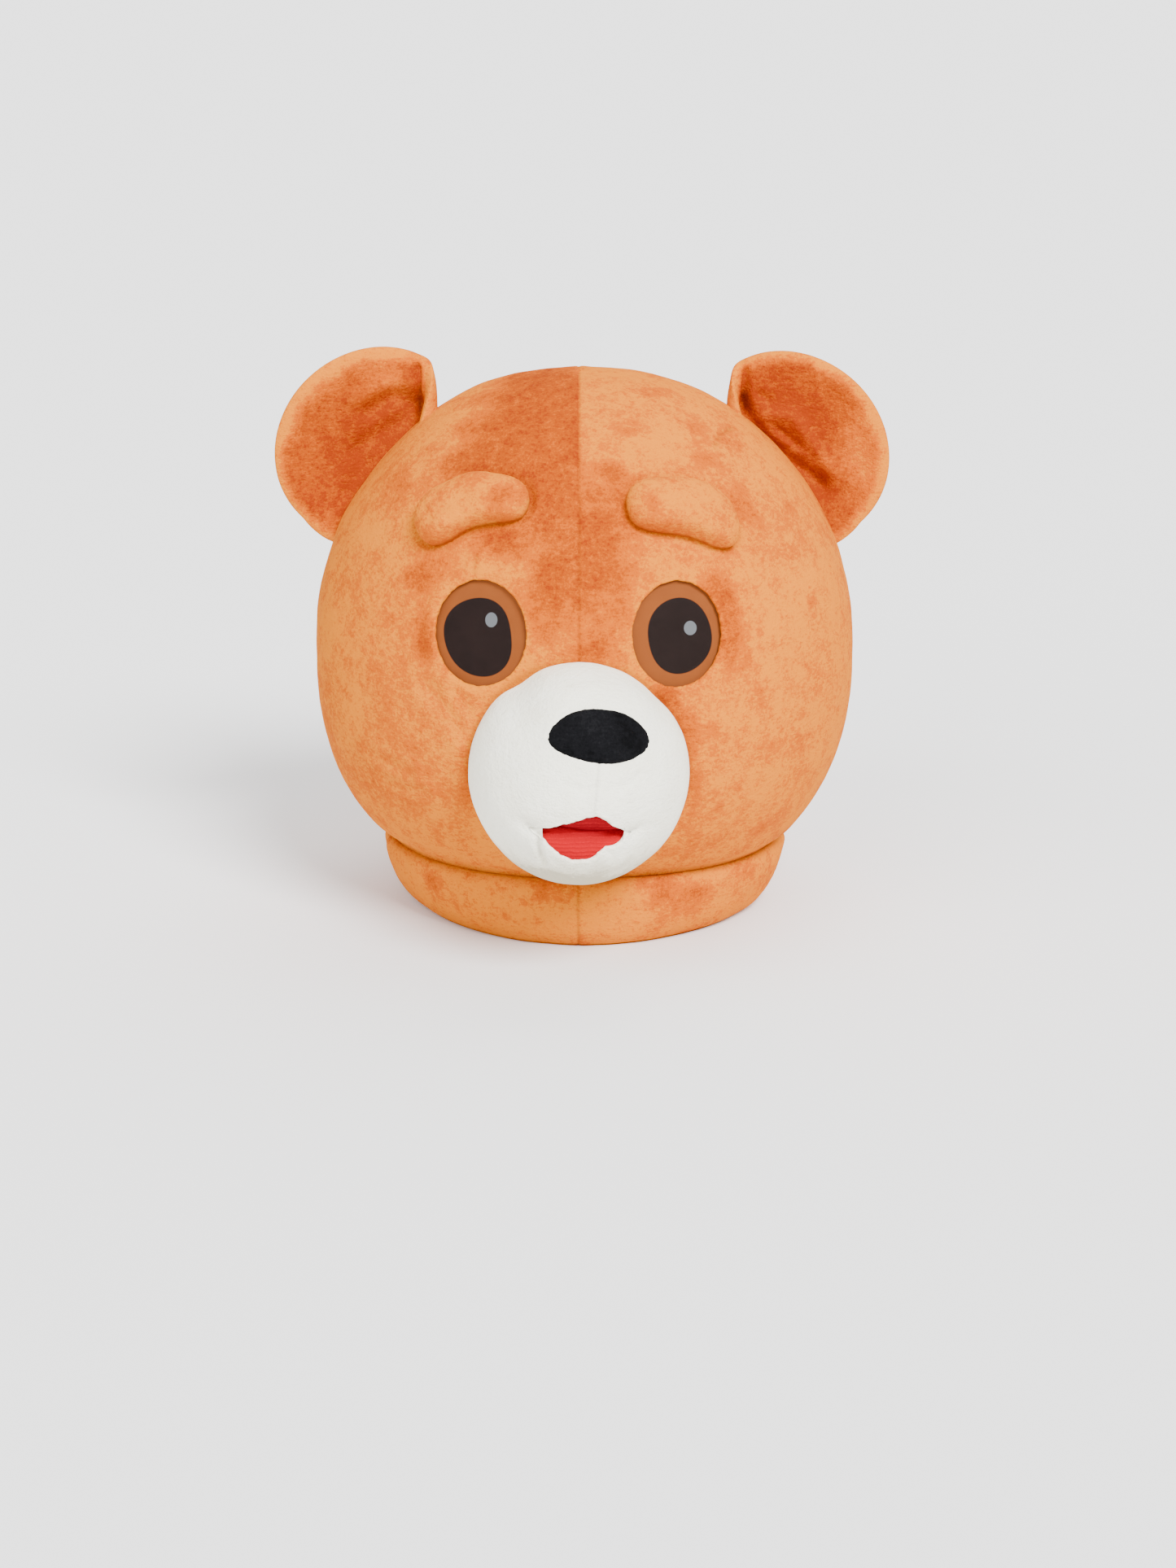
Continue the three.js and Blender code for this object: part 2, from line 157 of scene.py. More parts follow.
# Grids: columns round and rows down
HEAD_COLUMNS, HEAD_ROWS = 460, 184
CAVITY_COLUMNS, CAVITY_ROWS = 92, 44
MUZZLE_COLUMNS, MUZZLE_ROWS = 260, 190
EAR_COLUMNS, EAR_ROWS = 192, 112
BROW_COLUMNS, BROW_ROWS = 192, 64
COLLAR_COLUMNS, COLLAR_ROWS = 420, 56
NOSE_COLUMNS = 192
PANEL_COLUMNS, PANEL_RINGS = 96, 22
LINING_COLUMNS, LINING_ABOVE, LINING_BELOW = 121, 39, 52
# Blocks of a grid bent round an opening: cells from its middle to the block's end and to its edge
EYE_BLOCK, EYE_RING = 31, 18
THROAT_BLOCK, THROAT_RING = 6, 4
MOUTH_BLOCK, MOUTH_RING = 36, 18
EYE_CELL, MOUTH_CELL = 1.7, 1.2  # mm from one cell of such a block to the next

# Where the pile is brushed against the light and looks deeper: x, y, z in mm, reach across and
# along the surface, how deep, and the side of the centre seam that it keeps to (0 is both).
BRUSHED_FACE = [
    (-24, -15, 200, 34, 40, 1.0, -1),
    (-26, -61, 189, 34, 34, 1.15, -1),
    (-60, -100, 158, 22, 14, 0.5, -1),
    (-26, -102, 165, 32, 30, 1.1, -1),
    (-62, -80, 172, 26, 16, 0.6, -1),
    (-24, -125, 143, 28, 28, 0.6, 0),
    (62, -125, 128, 52, 30, 0.35, 0),
    (-72, -118, 128, 48, 28, 0.3, 0),
    (-82, -90, 155, 23, 12, 0.8, 0),
    (-129, -68, 133, 10, 22, 0.45, 0),
    (-16, -148, 108, 26, 36, 0.45, 0),
    (32, -83, 177, 13, 9, 0.6, 1),
    (19, -115, 154, 8, 7, 0.6, 1),
    (75, -61, 175, 9, 13, 0.5, 1),
    (84, -85, 157, 14, 14, 0.5, 0),
    (106, -100, 128, 15, 20, 0.45, 0),
    (101, -57, 163, 12, 11, 0.5, 0),
    (51, -32, 193, 14, 10, 0.35, 1),
    (-110, -127, 86, 16, 12, 0.7, 0),
    (-59, -139, 112, 18, 9, 0.7, 0),
    (20, -141, 122, 21, 33, 0.5, 1),
    (-76, -60, 175, 17, 10, 0.35, 0),
    (-108, -143, 44, 6, 18, 0.8, 0),
    (-22, -158, 90, 14, 15, 0.5, 0),
    (-28, -166, 66, 13, 25, 0.6, 0),
    (11, -164, 75, 19, 38, 0.55, 0),
    (3, -172, 43, 17, 9, 0.6, 0),
    (97, -147, 53, 9, 29, 0.65, 0),
    (87, -143, 80, 13, 11, 0.6, 0),
    (71, -163, 29, 19, 8, 0.75, 0),
    (56, -169, 10, 9, 16, 0.8, 0),
    (68, -169, -8, 8, 14, 0.45, 0),
    (87, -163, -12, 6, 6, 0.5, 0),
    (111, -143, 31, 3, 5, 0.5, 0),
    (156, -94, 59, 5, 7, 0.5, 0),
    (130, -117, 74, 5, 7, 0.4, 0),
    (125, -112, -102, 19, 8, 0.5, 0),
    (112, -106, -118, 22, 5, 0.5, 0),
    (-82, -160, -60, 5, 40, 0.25, 0),
    (-132, -120, -20, 40, 60, 0.22, 0),
    (-8, -160, 100, 30, 40, 0.18, 0),
    (74, -165, -50, 5, 34, 0.3, 0),
]
# The same round the collar: degrees to the wearer's left of the front, share of the way down,
# reach in degrees and as a share, and how deep.
BRUSHED_COLLAR = [
    (-9, 0.22, 7, 0.13, 0.6),
    (-17, 0.3, 3, 0.1, 0.5),
    (-23, 0.55, 3, 0.14, 0.55),
    (-15, 0.62, 2.5, 0.22, 0.45),
    (-48, 0.25, 5, 0.25, 0.5),
    (-40, 0.6, 1.5, 0.2, 0.5),
    (24, 0.35, 9, 0.33, 0.8),
    (36, 0.3, 6, 0.2, 0.5),
    (52, 0.2, 7, 0.2, 0.5),
    (-110, 0.4, 12, 0.3, 0.4),
    (140, 0.5, 15, 0.3, 0.4),
]

UP, AHEAD = np.array([0.0, 0.0, 1.0]), np.array([0.0, -1.0, 0.0])
MUZZLE_MIDDLE = np.array([FACE_SHIFT, -HEAD_DEPTH / 2 + MUZZLE_SINK, -MUZZLE_DROP])
MUZZLE_AXES = np.array([MUZZLE_WIDTH / 2, MUZZLE_REACH, MUZZLE_HEIGHT / 2])
head_low, head_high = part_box("head_shell")
HEAD_MIDDLE = np.array(
    [
        500.0 * (head_low.x + head_high.x),
        1000.0 * head_high.y - HEAD_DEPTH / 2,
        1000.0 * head_high.z - CROWN_HEIGHT,
    ]
)


# Camera and stage


def place_camera():
    """A camera aimed so that the head's middle lies where it does in the picture."""
    focal = CAMERA_AWAY / PIXEL
    right = (MIDDLE_ACROSS - PICTURE_WIDTH / 2) / focal
    down = (PICTURE_HEIGHT / 2 - MIDDLE_DOWN) / focal
    height = math.radians(CAMERA_LIFT)
    yaw, pitch = -math.atan(right), height + math.atan(down)
    data = bpy.data.cameras.new("camera")
    data.sensor_width = SENSOR
    data.lens = focal * SENSOR / PICTURE_HEIGHT
    camera = bpy.data.objects.new("camera", data)
    bpy.context.collection.objects.link(camera)
    away = np.array([0.0, -math.cos(height), math.sin(height)]) * CAMERA_AWAY
    camera.location = (HEAD_MIDDLE + away) / 1000.0
    camera.rotation_euler = (math.pi / 2 - pitch, 0.0, -yaw)
    bpy.context.scene.camera = camera


def add_sun(name, turn, lift, strength, spread):
    """A broad soft light from far off: degrees to the wearer's left of the front, degrees above
    level, and how many degrees of the sky it fills."""
    data = bpy.data.lights.new(name, "SUN")
    data.energy, data.angle = strength, math.radians(spread)
    lamp = bpy.data.objects.new(name, data)
    bpy.context.collection.objects.link(lamp)
    lamp.location = (0.0, -3.0, 3.0)
    lamp.rotation_euler = (math.radians(90 - lift), 0.0, math.radians(turn))


# Surfaces


def length(vectors):
    return np.sqrt((vectors**2).sum(-1))


def unit(vectors):
    return vectors / length(vectors)[..., None]


def smooth(share):
    """From 0 to 1 without a corner at either end."""
    share = np.clip(share, 0.0, 1.0)
    return share * share * (3 - 2 * share)


def hump(distance, reach):
    """1 at no distance, falling off as exp(-(distance / reach)^2)."""
    return np.exp(-((distance / reach) ** 2))


def lumps(points, size, seed):
    """Soft noise from -1 to 1: random numbers on a lattice of that size, blended smoothly."""
    lattice = np.random.default_rng(seed).uniform(-1, 1, (32, 32, 32))
    place = points / size + 1000.0
    cell = np.floor(place).astype(int)
    share = smooth(place - cell)
    total = 0.0
    for corner in np.ndindex(2, 2, 2):
        weight = np.where(np.array(corner, bool), share, 1 - share).prod(-1)
        i = (cell + np.array(corner)) % 32
        total = total + weight * lattice[i[..., 0], i[..., 1], i[..., 2]]
    return total


def bumps(points, table):
    """A sum of soft noises: how high and how large each is in mm, and its seed."""
    return sum(high * lumps(points, size, seed) for high, size, seed in table)


def head_surface(direction, offset=0.0):
    """The head's surface in a direction from its middle, grown by an offset.

    With m for the plan's fullness and n for the half's, (|x/a|^m + |y/b|^m)^(n/m) + |z/c|^n = 1,
    plus the face's soft relief along the direction.
    """
    x, y, z = np.moveaxis(np.asarray(direction, float), -1, 0)
    high = z > 0
    height = np.where(high, CROWN_HEIGHT, CHIN_DEPTH)
    fullness = np.where(high, CROWN_FULLNESS, CHEEK_FULLNESS)
    plan = (
        abs(x / (HEAD_WIDTH / 2 + offset)) ** PLAN_FULLNESS
        + abs(y / (HEAD_DEPTH / 2 + offset)) ** PLAN_FULLNESS
    )
    upright = abs(z / (height + offset)) ** fullness
    reach = (plan ** (fullness / PLAN_FULLNESS) + upright) ** (-1 / fullness)
    point = direction * reach[..., None]
    facing = np.clip(-2 * point[..., 1] / HEAD_DEPTH, 0, 1)
    rise = 0.0
    for across, up, spread, height_mm in FACE_RELIEF:
        dx = (point[..., 0] - FACE_SHIFT) / (HEAD_WIDTH / 2) - across
        dz = point[..., 2] / CROWN_HEIGHT - up
        rise = rise + height_mm * np.exp(-(dx * dx + dz * dz) / (2 * spread * spread))
    return point + unit(direction) * (rise * facing)[..., None]


def out_of_head(points, depth):
    """Points that lie deeper in the head than a depth move out to that depth."""
    floor = head_surface(points, -depth)
    return np.where((length(floor) > length(points))[..., None], floor, points)


def level_share(z):
    """The share of the head's width and depth that is left at a level."""
    if z > 0:
        return (1 - abs(z / CROWN_HEIGHT) ** CROWN_FULLNESS) ** (1 / CROWN_FULLNESS)
    return (1 - abs(z / CHIN_DEPTH) ** CHEEK_FULLNESS) ** (1 / CHEEK_FULLNESS)


def frame_at(place, out, turn=0.0):
    """Place, across, up and out of a frame on a surface, turned in its own plane by degrees."""
    across = unit(np.cross(UP, out))
    up = np.cross(out, across)
    cos, sin = math.cos(math.radians(turn)), math.sin(math.radians(turn))
    return place, cos * across + sin * up, cos * up - sin * across, out


def face_frame(x, z, turn=0.0):
    """A frame on the front of the head at a place seen from the front."""
    across = abs(2 * x / HEAD_WIDTH) ** PLAN_FULLNESS
    ahead = (level_share(z) ** PLAN_FULLNESS - across) ** (1 / PLAN_FULLNESS)
    place = head_surface(np.array([x, -ahead * HEAD_DEPTH / 2, z]))
    step = EYE_WIDTH / 8
    beside = head_surface(place + (step, 0, 0))
    above = head_surface(place + (0, 0, step))
    return frame_at(place, unit(np.cross(beside - place, above - place)), turn)


def eye_frame(side):
    return face_frame(FACE_SHIFT + side * EYE_SPACING / 2, EYE_RISE, -side * EYE_TILT)


def in_plane(points, seat):
    """How far points lie across and up a frame."""
    place, across, up, _ = seat
    return np.stack([(points - place) @ across, (points - place) @ up], -1)


def on_surface(plane, seat, surface):
    """Points of a surface that lie over places in a frame's plane, found in four steps."""
    place, across, up, _ = seat
    aim = place + plane[..., :1] * across + plane[..., 1:] * up
    for _ in range(4):
        miss = plane - in_plane(surface(aim), seat)
        aim = aim + miss[..., :1] * across + miss[..., 1:] * up
    return surface(aim)


def raised(plane):
    """Places in a plane as points of no height."""
    return np.concatenate([plane, 0 * plane[..., :1]], -1)


def ellipse(width, height):
    """A rule for an oval outline: angle in radians to a place in its plane."""
    return lambda angle: np.stack([width / 2 * np.cos(angle), height / 2 * np.sin(angle)], -1)


def ragged(rule, share):
    """The same outline with the uneven edge that a cut pile has, in and out by a share."""

    def edge(angle):
        line = rule(angle)
        return line * (1 + share * lumps(raised(line), 1.7, 68))[..., None]

    return edge


def outline(places, order=7):
    """A rule for a closed outline through places in a plane, counter-clockwise: its Fourier
    series up to an order, over the share of its length. Returns places for angles in radians."""
    places = np.array(places, float)
    looped = np.concatenate([places, places[:1]])
    walked = np.concatenate([[0.0], np.cumsum(length(np.diff(looped, axis=0)))])
    steps = np.arange(256) / 256 * walked[-1]
    even = [np.interp(steps, walked, looped[:, k]) for k in (0, 1)]
    waves = np.fft.fft(even[0] + 1j * even[1]) / 256
    turns = np.concatenate([np.arange(order + 1), np.arange(-order, 0)])

    def rule(angle):
        angle = np.asarray(angle, float)
        total = (np.exp(1j * angle[..., None] * turns) * waves[turns]).sum(-1)
        return np.stack([total.real, total.imag], -1)

    return rule


def radius_series(places, order=4):
    """Size and phase of each wave in an outline's radius round its middle, fitted to places."""
    places = np.array(places, float)
    angle, wave = np.arctan2(places[:, 1], places[:, 0]), np.arange(order + 1)
    terms = [np.cos(np.outer(angle, wave)), np.sin(np.outer(angle, wave[1:]))]
    fit = np.linalg.lstsq(np.concatenate(terms, 1), length(places), rcond=None)[0]
    cos, sin = fit[: order + 1], np.concatenate([[0.0], fit[order + 1 :]])
    return list(zip(np.hypot(cos, sin), np.arctan2(sin, cos)))


# Grids


def circle(count):
    """Angles in radians evenly round a full turn."""
    return np.linspace(0, 2 * np.pi, count + 1)[:-1]


def spaced(count, low, high, humps):
    """Count + 1 values from low to high, closer together where the humps (middle, reach,
    strength) raise their density above 1."""
    fine = np.linspace(low, high, 4000)
    density = 1.0 + sum(s * hump(fine - middle, reach) for middle, reach, s in humps)
    total = np.concatenate([[0.0], np.cumsum((density[1:] + density[:-1]) / 2)])
    return np.interp(np.linspace(0, 1, count + 1), total / total[-1], fine)


def round_turns(columns, humps):
    """Angles in radians round an upright axis, mirrored about 0, which is the front."""
    half = spaced(columns // 2, 0, 180, humps)
    return np.radians(np.concatenate([-half[:0:-1], half[:-1]]))


def quads(index):
    """Quads between neighbours of a table of vertex numbers, rows down and columns to the right
    as seen from outside. Cells with a number below 0 are left out."""
    cells = np.stack([index[:-1, :-1], index[1:, :-1], index[1:, 1:], index[:-1, 1:]], -1)
    cells = cells.reshape(-1, 4)
    return cells[(cells >= 0).all(1)]


def wrap(index):
    """Quads of a table of vertex numbers whose rows close on themselves."""
    return quads(np.concatenate([index, index[:, :1]], 1))


def fan(ring, pole):
    """Triangles from a ring of vertex numbers to one vertex."""
    return np.stack([np.full(len(ring), pole), ring, np.roll(ring, -1)], -1)


def ball_faces(ends, skin):
    """Faces of a closed form: a grid whose rows close on themselves, and a pole at each end."""
    return [wrap(skin), fan(skin[0], ends[0, 0]), fan(skin[-1], ends[0, 1])[:, ::-1]]


def disc_faces(ends, front, back):
    """Faces of a closed disc: two grids of rings joined at their last ring, and their middles."""
    return [
        wrap(front),
        wrap(back)[:, ::-1],
        wrap(np.stack([front[-1], back[-1]])),
        fan(front[0], ends[0, 0]),
        fan(back[0], ends[0, 1])[:, ::-1],
    ]


def zip_rings(fine, coarse):
    """Faces between a closed ring and one with fewer vertices, a whole number of times fewer."""
    step = len(fine) // len(coarse)
    looped = np.append(fine, fine[0])
    parts = np.stack([looped[k : k + len(fine) : step] for k in range(step + 1)], -1)
    return np.concatenate([parts, np.roll(coarse, -1)[:, None], coarse[:, None]], -1)


def around(row, column, reach):
    """The square of a grid's cells within a reach of one cell."""
    return np.s_[row - reach : row + reach + 1, column - reach : column + reach + 1]


def ring_of(index, row, column, reach):
    """The vertex numbers along a square ring of a grid, clockwise as seen from outside."""
    k = np.arange(-reach, reach)
    top, right = index[row - reach, column + k], index[row + k, column + reach]
    bottom, left = index[row + reach, column - k], index[row - k, column - reach]
    return np.concatenate([top, right, bottom, left])


def opened(index, row, column, reach):
    """A table of vertex numbers with a square hole, whose edge is the ring at that reach."""
    index = index.copy()
    index[around(row, column, reach - 1)] = -1
    return index


def nearest_row(points, column, place):
    """The row of a grid that comes nearest to a place along one column."""
    return int(np.argmin(length(points[:, column] - place)))


def round_block(points, row, column, half, ring, seat, surface, edge, lip):
    """Bends a square block of a grid round an opening.

    The square ring number `ring` takes the outline that the rule `edge` gives in the seat's
    plane. Further out the grid eases back to where it was. Further in, the rows of `lip` give how
    far each ring lies inside the outline and below the surface, in mm. A square's place is
    turned into an angle by the concentric map, so that equal steps stay equal. Returns the number
    of each cell's square and its angle.
    """
    k = np.arange(-half, half + 1)
    u, v = np.meshgrid(k / half, -k / half)
    level = np.maximum(abs(u), abs(v))
    flat = abs(u) >= abs(v)
    with np.errstate(divide="ignore", invalid="ignore"):
        angle = np.where(flat, v / u * math.pi / 4, math.pi / 2 - u / v * math.pi / 4)
    angle = np.nan_to_num(angle) + np.where(np.where(flat, u, v) < 0, math.pi, 0.0)
    block = points[around(row, column, half)]
    line = edge(angle)
    step = np.rint(level * half).astype(int)
    ease = smooth((level - ring / half) / (1 - ring / half))[..., None]
    grown = line * (level * half / ring)[..., None]
    eased = (1 - ease) * grown + ease * in_plane(block, seat)
    plane = np.where((step >= ring)[..., None], eased, line)
    inset, depth = np.zeros(half + 1), np.zeros(half + 1)
    for order, (inwards, down) in enumerate(lip, start=1):
        inset[ring - order], depth[ring - order] = inwards, down
    inset, depth = np.where(step < ring, inset[step], 0.0), np.where(step < ring, depth[step], 0.0)
    size = np.maximum(length(plane), 1e-6)
    plane = plane * (1 - inset / size)[..., None]
    block[...] = on_surface(plane, seat, lambda aim: surface(aim, -depth))
    return step, angle


def flatten(*grids):
    """Puts grids of points end to end. Returns all points and each grid's vertex numbers."""
    index, start = [], 0
    for grid in grids:
        count = grid.size // 3
        index.append(np.arange(start, start + count).reshape(grid.shape[:-1]))
        start += count
    return np.concatenate([grid.reshape(-1, 3) for grid in grids]), index


def sided(side, word):
    """The name of a piece on the wearer's left or right."""
    return ("left_" if side > 0 else "right_") + word


def add_piece(name, points, faces, material, values=None, plane=None):
    """Makes a smooth mesh of points in mm and arrays of faces, drops points without a face, and
    rides it on the part. `values` are named numbers per point, `plane` is a place per point in
    mm that becomes the piece's own UV map, 100 mm to a unit."""
    used = np.unique(np.concatenate([f.ravel() for f in faces]))
    renumber = np.full(len(points), -1)
    renumber[used] = np.arange(len(used))
    faces = [renumber[f] for f in faces]
    mesh = bpy.data.meshes.new(name)
    mesh.vertices.add(len(used))
    place = (points[used] + HEAD_MIDDLE) / 1000.0
    mesh.vertices.foreach_set("co", place.astype(np.float32).ravel())
    corners = np.concatenate([f.ravel() for f in faces])
    sizes = np.concatenate([np.full(len(f), f.shape[1]) for f in faces])
    mesh.loops.add(len(corners))
    mesh.loops.foreach_set("vertex_index", corners.astype(np.int32))
    mesh.polygons.add(len(sizes))
    starts = np.concatenate([[0], np.cumsum(sizes)[:-1]])
    mesh.polygons.foreach_set("loop_start", starts.astype(np.int32))
    mesh.polygons.foreach_set("use_smooth", np.ones(len(sizes), bool))
    mesh.update(calc_edges=True)
    mesh.validate()
    for word, numbers in (values or {}).items():
        layer = mesh.attributes.new(word, "FLOAT", "POINT")
        layer.data.foreach_set("value", numbers[used].astype(np.float32))
    if plane is not None:
        layer = mesh.uv_layers.new(name="UVMap")
        layer.data.foreach_set("uv", (plane[used][corners] / 100.0).astype(np.float32).ravel())
    mesh.materials.append(material)
    piece = bpy.data.objects.new(name, mesh)
    bpy.context.collection.objects.link(piece)
    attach(piece, "root")
    return piece


def slab(front, back):
    """Points and faces of a closed sheet between two grids of the same size."""
    points, (top, under) = flatten(front, back)
    edge, rim = (
        np.concatenate([grid[0, :-1], grid[:-1, -1], grid[-1, :0:-1], grid[:0:-1, 0]])
        for grid in (top, under)
    )
    sides = np.stack([edge, np.roll(edge, -1), np.roll(rim, -1), rim], -1)
    return points, [quads(top), quads(under)[:, ::-1], sides]


# Materials


def colour(code):
    """An sRGB hex value as a linear colour."""
    parts = np.array([int(code[k : k + 2], 16) for k in (1, 3, 5)]) / 255.0
    linear = np.where(parts <= 0.04045, parts / 12.92, ((parts + 0.055) / 1.055) ** 2.4)
    return (*linear, 1.0)


def node(tree, kind, settings=None, **links):
    """Adds a node. `settings` holds its properties and its sockets' values by name. Each link
    names the socket that an output feeds, with spaces as underscores."""
    made = tree.nodes.new(kind)
    for key, value in (settings or {}).items():
        if key in made.inputs:
            made.inputs[key].default_value = value
        else:
            setattr(made, key, value)
    for key, output in links.items():
        tree.links.new(output, made.inputs[key.replace("_", " ")])
    return made


def feed(tree, made, sockets, values):
    """Gives each numbered socket of a node its value, or links the output that feeds it."""
    for socket, value in zip(sockets, values):
        if isinstance(value, (int, float, tuple)):
            made.inputs[socket].default_value = value
        else:
            tree.links.new(value, made.inputs[socket])


def new_material(name):
    material = bpy.data.materials.new(name)
    material.use_nodes = True
    material.node_tree.nodes.clear()
    return material, material.node_tree


def finish(tree, base, rough, shine, height=None, strength=0.0, depth=0.0, **links):
    """The shader: base colour, roughness, specular level, and a bump's height, strength and
    depth in metres."""
    settings = {"Roughness": rough, "Specular IOR Level": shine}
    shader = node(tree, "ShaderNodeBsdfPrincipled", settings, **links)
    feed(tree, shader, ["Base Color"], [base])
    if height is not None:
        settings = {"Strength": strength, "Distance": depth}
        bump = node(tree, "ShaderNodeBump", settings, Height=height)
        tree.links.new(bump.outputs[0], shader.inputs["Normal"])
    node(tree, "ShaderNodeOutputMaterial", Surface=shader.outputs[0])


def place_in(tree, kind="Object"):
    return node(tree, "ShaderNodeTexCoord").outputs[kind]


def attribute(tree, name):
    return node(tree, "ShaderNodeAttribute", {"attribute_name": name}).outputs["Fac"]


def ramp(tree, value, low, high):
    """0 below low and 1 above high, eased between."""
    settings = {"interpolation_type": "SMOOTHSTEP", "From Min": low, "From Max": high}
    return node(tree, "ShaderNodeMapRange", settings, Value=value).outputs[0]


def mix(tree, share, first, second):
    """A colour between two, each a colour value or an output."""
    made = node(tree, "ShaderNodeMix", {"data_type": "RGBA"})
    feed(tree, made, (0, 6, 7), (share, first, second))
    return made.outputs[2]


def calculate(tree, operation, *values):
    """A Math node of one to three numbers, each a value or an output."""
    made = node(tree, "ShaderNodeMath", {"operation": operation})
    feed(tree, made, range(3), values)
    return made.outputs[0]


def noise(tree, place, millimetres, detail=2.0, roughness=0.5):
    """Noise from 0 to 1 whose lumps are about this many millimetres across."""
    settings = {"Scale": 1000.0 / millimetres, "Detail": detail, "Roughness": roughness}
    return node(tree, "ShaderNodeTexNoise", settings, Vector=place).outputs[0]


def velour(name, light, middling, deep, deepest, dark, ragged=1.0):
    """Short velour, a knitted pile about 1.5 mm long: the lie of the pile makes it lighter or
    deeper in ragged patches, and the knit shows as broken rows, drawn coarser than the real ones
    so that they show. On some pieces the `nap` numbers also carry painted shade. `dark` is its
    colour down in a seam or crease, partly the parted pile and partly painted shade."""
    material, tree = new_material(name)
    place = place_in(tree)
    blot = noise(tree, place, 14.0, 4.0, 0.7)
    flecks = noise(tree, place, 4.5, 3.0, 0.75)
    rows = node(tree, "ShaderNodeMapping", {"Scale": (0.5, 0.5, 1.2)}, Vector=place)
    knit = noise(tree, rows.outputs[0], 2.2, 2.0, 0.6)
    grain = noise(tree, place, 1.6, 2.0, 0.8)
    lie = attribute(tree, "nap")
    for pattern, share in ((blot, 1.3), (flecks, 1.1), (knit, 0.8), (grain, 1.2)):
        share = share * ragged
        part = calculate(tree, "MULTIPLY_ADD", pattern, share, -share / 2)
        lie = calculate(tree, "ADD", lie, part)
    base = colour(light)
    for tone, low, high in ((middling, -0.04, 0.5), (deep, 0.5, 0.98), (deepest, 0.95, 1.4)):
        base = mix(tree, ramp(tree, lie, low, high), base, colour(tone))
    # painted shade in seams and creases, mixed with the darker parted pile of the seams
    seam = calculate(tree, "MULTIPLY", attribute(tree, "seam"), 0.8)
    base = mix(tree, seam, base, colour(dark))
    height = calculate(tree, "MULTIPLY_ADD", flecks, 1.2, calculate(tree, "ADD", knit, grain))
    finish(tree, base, 0.92, 0.04, height, 0.8, 0.001)
    return material


def cavity_painted_shade():
    """The lining of the head's inside, dull and coloured near black as painted shade, since
    little light gets in.
    """
    material, tree = new_material("painted_shade_lining")
    grain = noise(tree, place_in(tree), 1.5, 3.0)
    base = mix(tree, grain, colour("#2A2320"), colour("#4A3A30"))
    finish(tree, base, 0.9, 0.2, grain, 0.3, 0.0006)
    return material


def ribbed_velour():
    """Red velour with the pile brushed in ribs 3 mm apart across the mouth."""
    material, tree = new_material("ribbed_red_velour")
    place = place_in(tree)
    bands = {
        "wave_type": "BANDS", "bands_direction": "Z", "Scale": 105.0, "Distortion": 2.2,
        "Detail": 2.0, "Detail Scale": 1.5,
    }
    ribs = node(tree, "ShaderNodeTexWave", bands, Vector=place).outputs[1]
    grain = noise(tree, place, 1.2, 3.0)
    # the darker red, led by the lining's nap numbers, is painted shade
    base = mix(tree, attribute(tree, "nap"), colour("#A80414"), colour("#780614"))
    crests = ramp(tree, calculate(tree, "MULTIPLY", ribs, grain), 0.3, 0.9)
    base = mix(tree, crests, base, colour("#B80A1C"))
    finish(tree, base, 0.95, 0.03, calculate(tree, "ADD", ribs, grain), 0.5, 0.0008)
    return material


def inside_oval(tree, plane, middle, radii, soft=0.08):
    """1 inside an oval of the piece's own plane, in mm, and 0 outside."""
    squares = []
    for value, centre, radius in zip(plane, middle, radii):
        share = calculate(tree, "DIVIDE", calculate(tree, "SUBTRACT", value, centre), radius)
        squares.append(calculate(tree, "MULTIPLY", share, share))
    total = calculate(tree, "ADD", *squares)
    return calculate(tree, "SUBTRACT", 1.0, ramp(tree, total, 1 - soft, 1 + soft))


def inside_waves(tree, plane, middle, waves, soft=0.35):
    """1 inside an outline whose radius is a sum of waves round its middle, and 0 outside."""
    right, high = (calculate(tree, "SUBTRACT", *pair) for pair in zip(plane, middle))
    angle = calculate(tree, "ARCTAN2", high, right)
    squares = [calculate(tree, "MULTIPLY", value, value) for value in (right, high)]
    over = calculate(tree, "SQRT", calculate(tree, "ADD", *squares))
    for order, (size, phase) in enumerate(waves):
        turned = calculate(tree, "SUBTRACT", calculate(tree, "MULTIPLY", angle, order), phase)
        part = calculate(tree, "MULTIPLY", calculate(tree, "COSINE", turned), size)
        over = calculate(tree, "SUBTRACT", over, part)
    return calculate(tree, "SUBTRACT", 1.0, ramp(tree, over, -soft, soft))


# Each printed pupil's outline in mm from its middle
LEFT_PUPIL = [
    (-1.6, 25.4), (-12, 21.3), (-19.3, 13.5), (-22.5, 3.8), (-21.4, -7), (-17.3, -16.8),
    (-12, -24.2), (-2.7, -25.3), (7.7, -24.2), (16.1, -18.7), (21.3, -9), (22.3, 2.8),
    (19.2, 12.6), (12.9, 20.4), (5.6, 24.3),
]
RIGHT_PUPIL = [
    (0.7, 26.4), (-13.7, 21.3), (-23.6, 10.3), (-24.4, 1.4), (-21.9, -8.5), (-15.8, -18.5),
    (-5.5, -25.4), (2.7, -26.4), (13, -25.4), (21.2, -18.5), (24.3, -8.5), (23.9, 3.4),
    (21.2, 13.3), (15, 21.3), (7.9, 25.3),
]


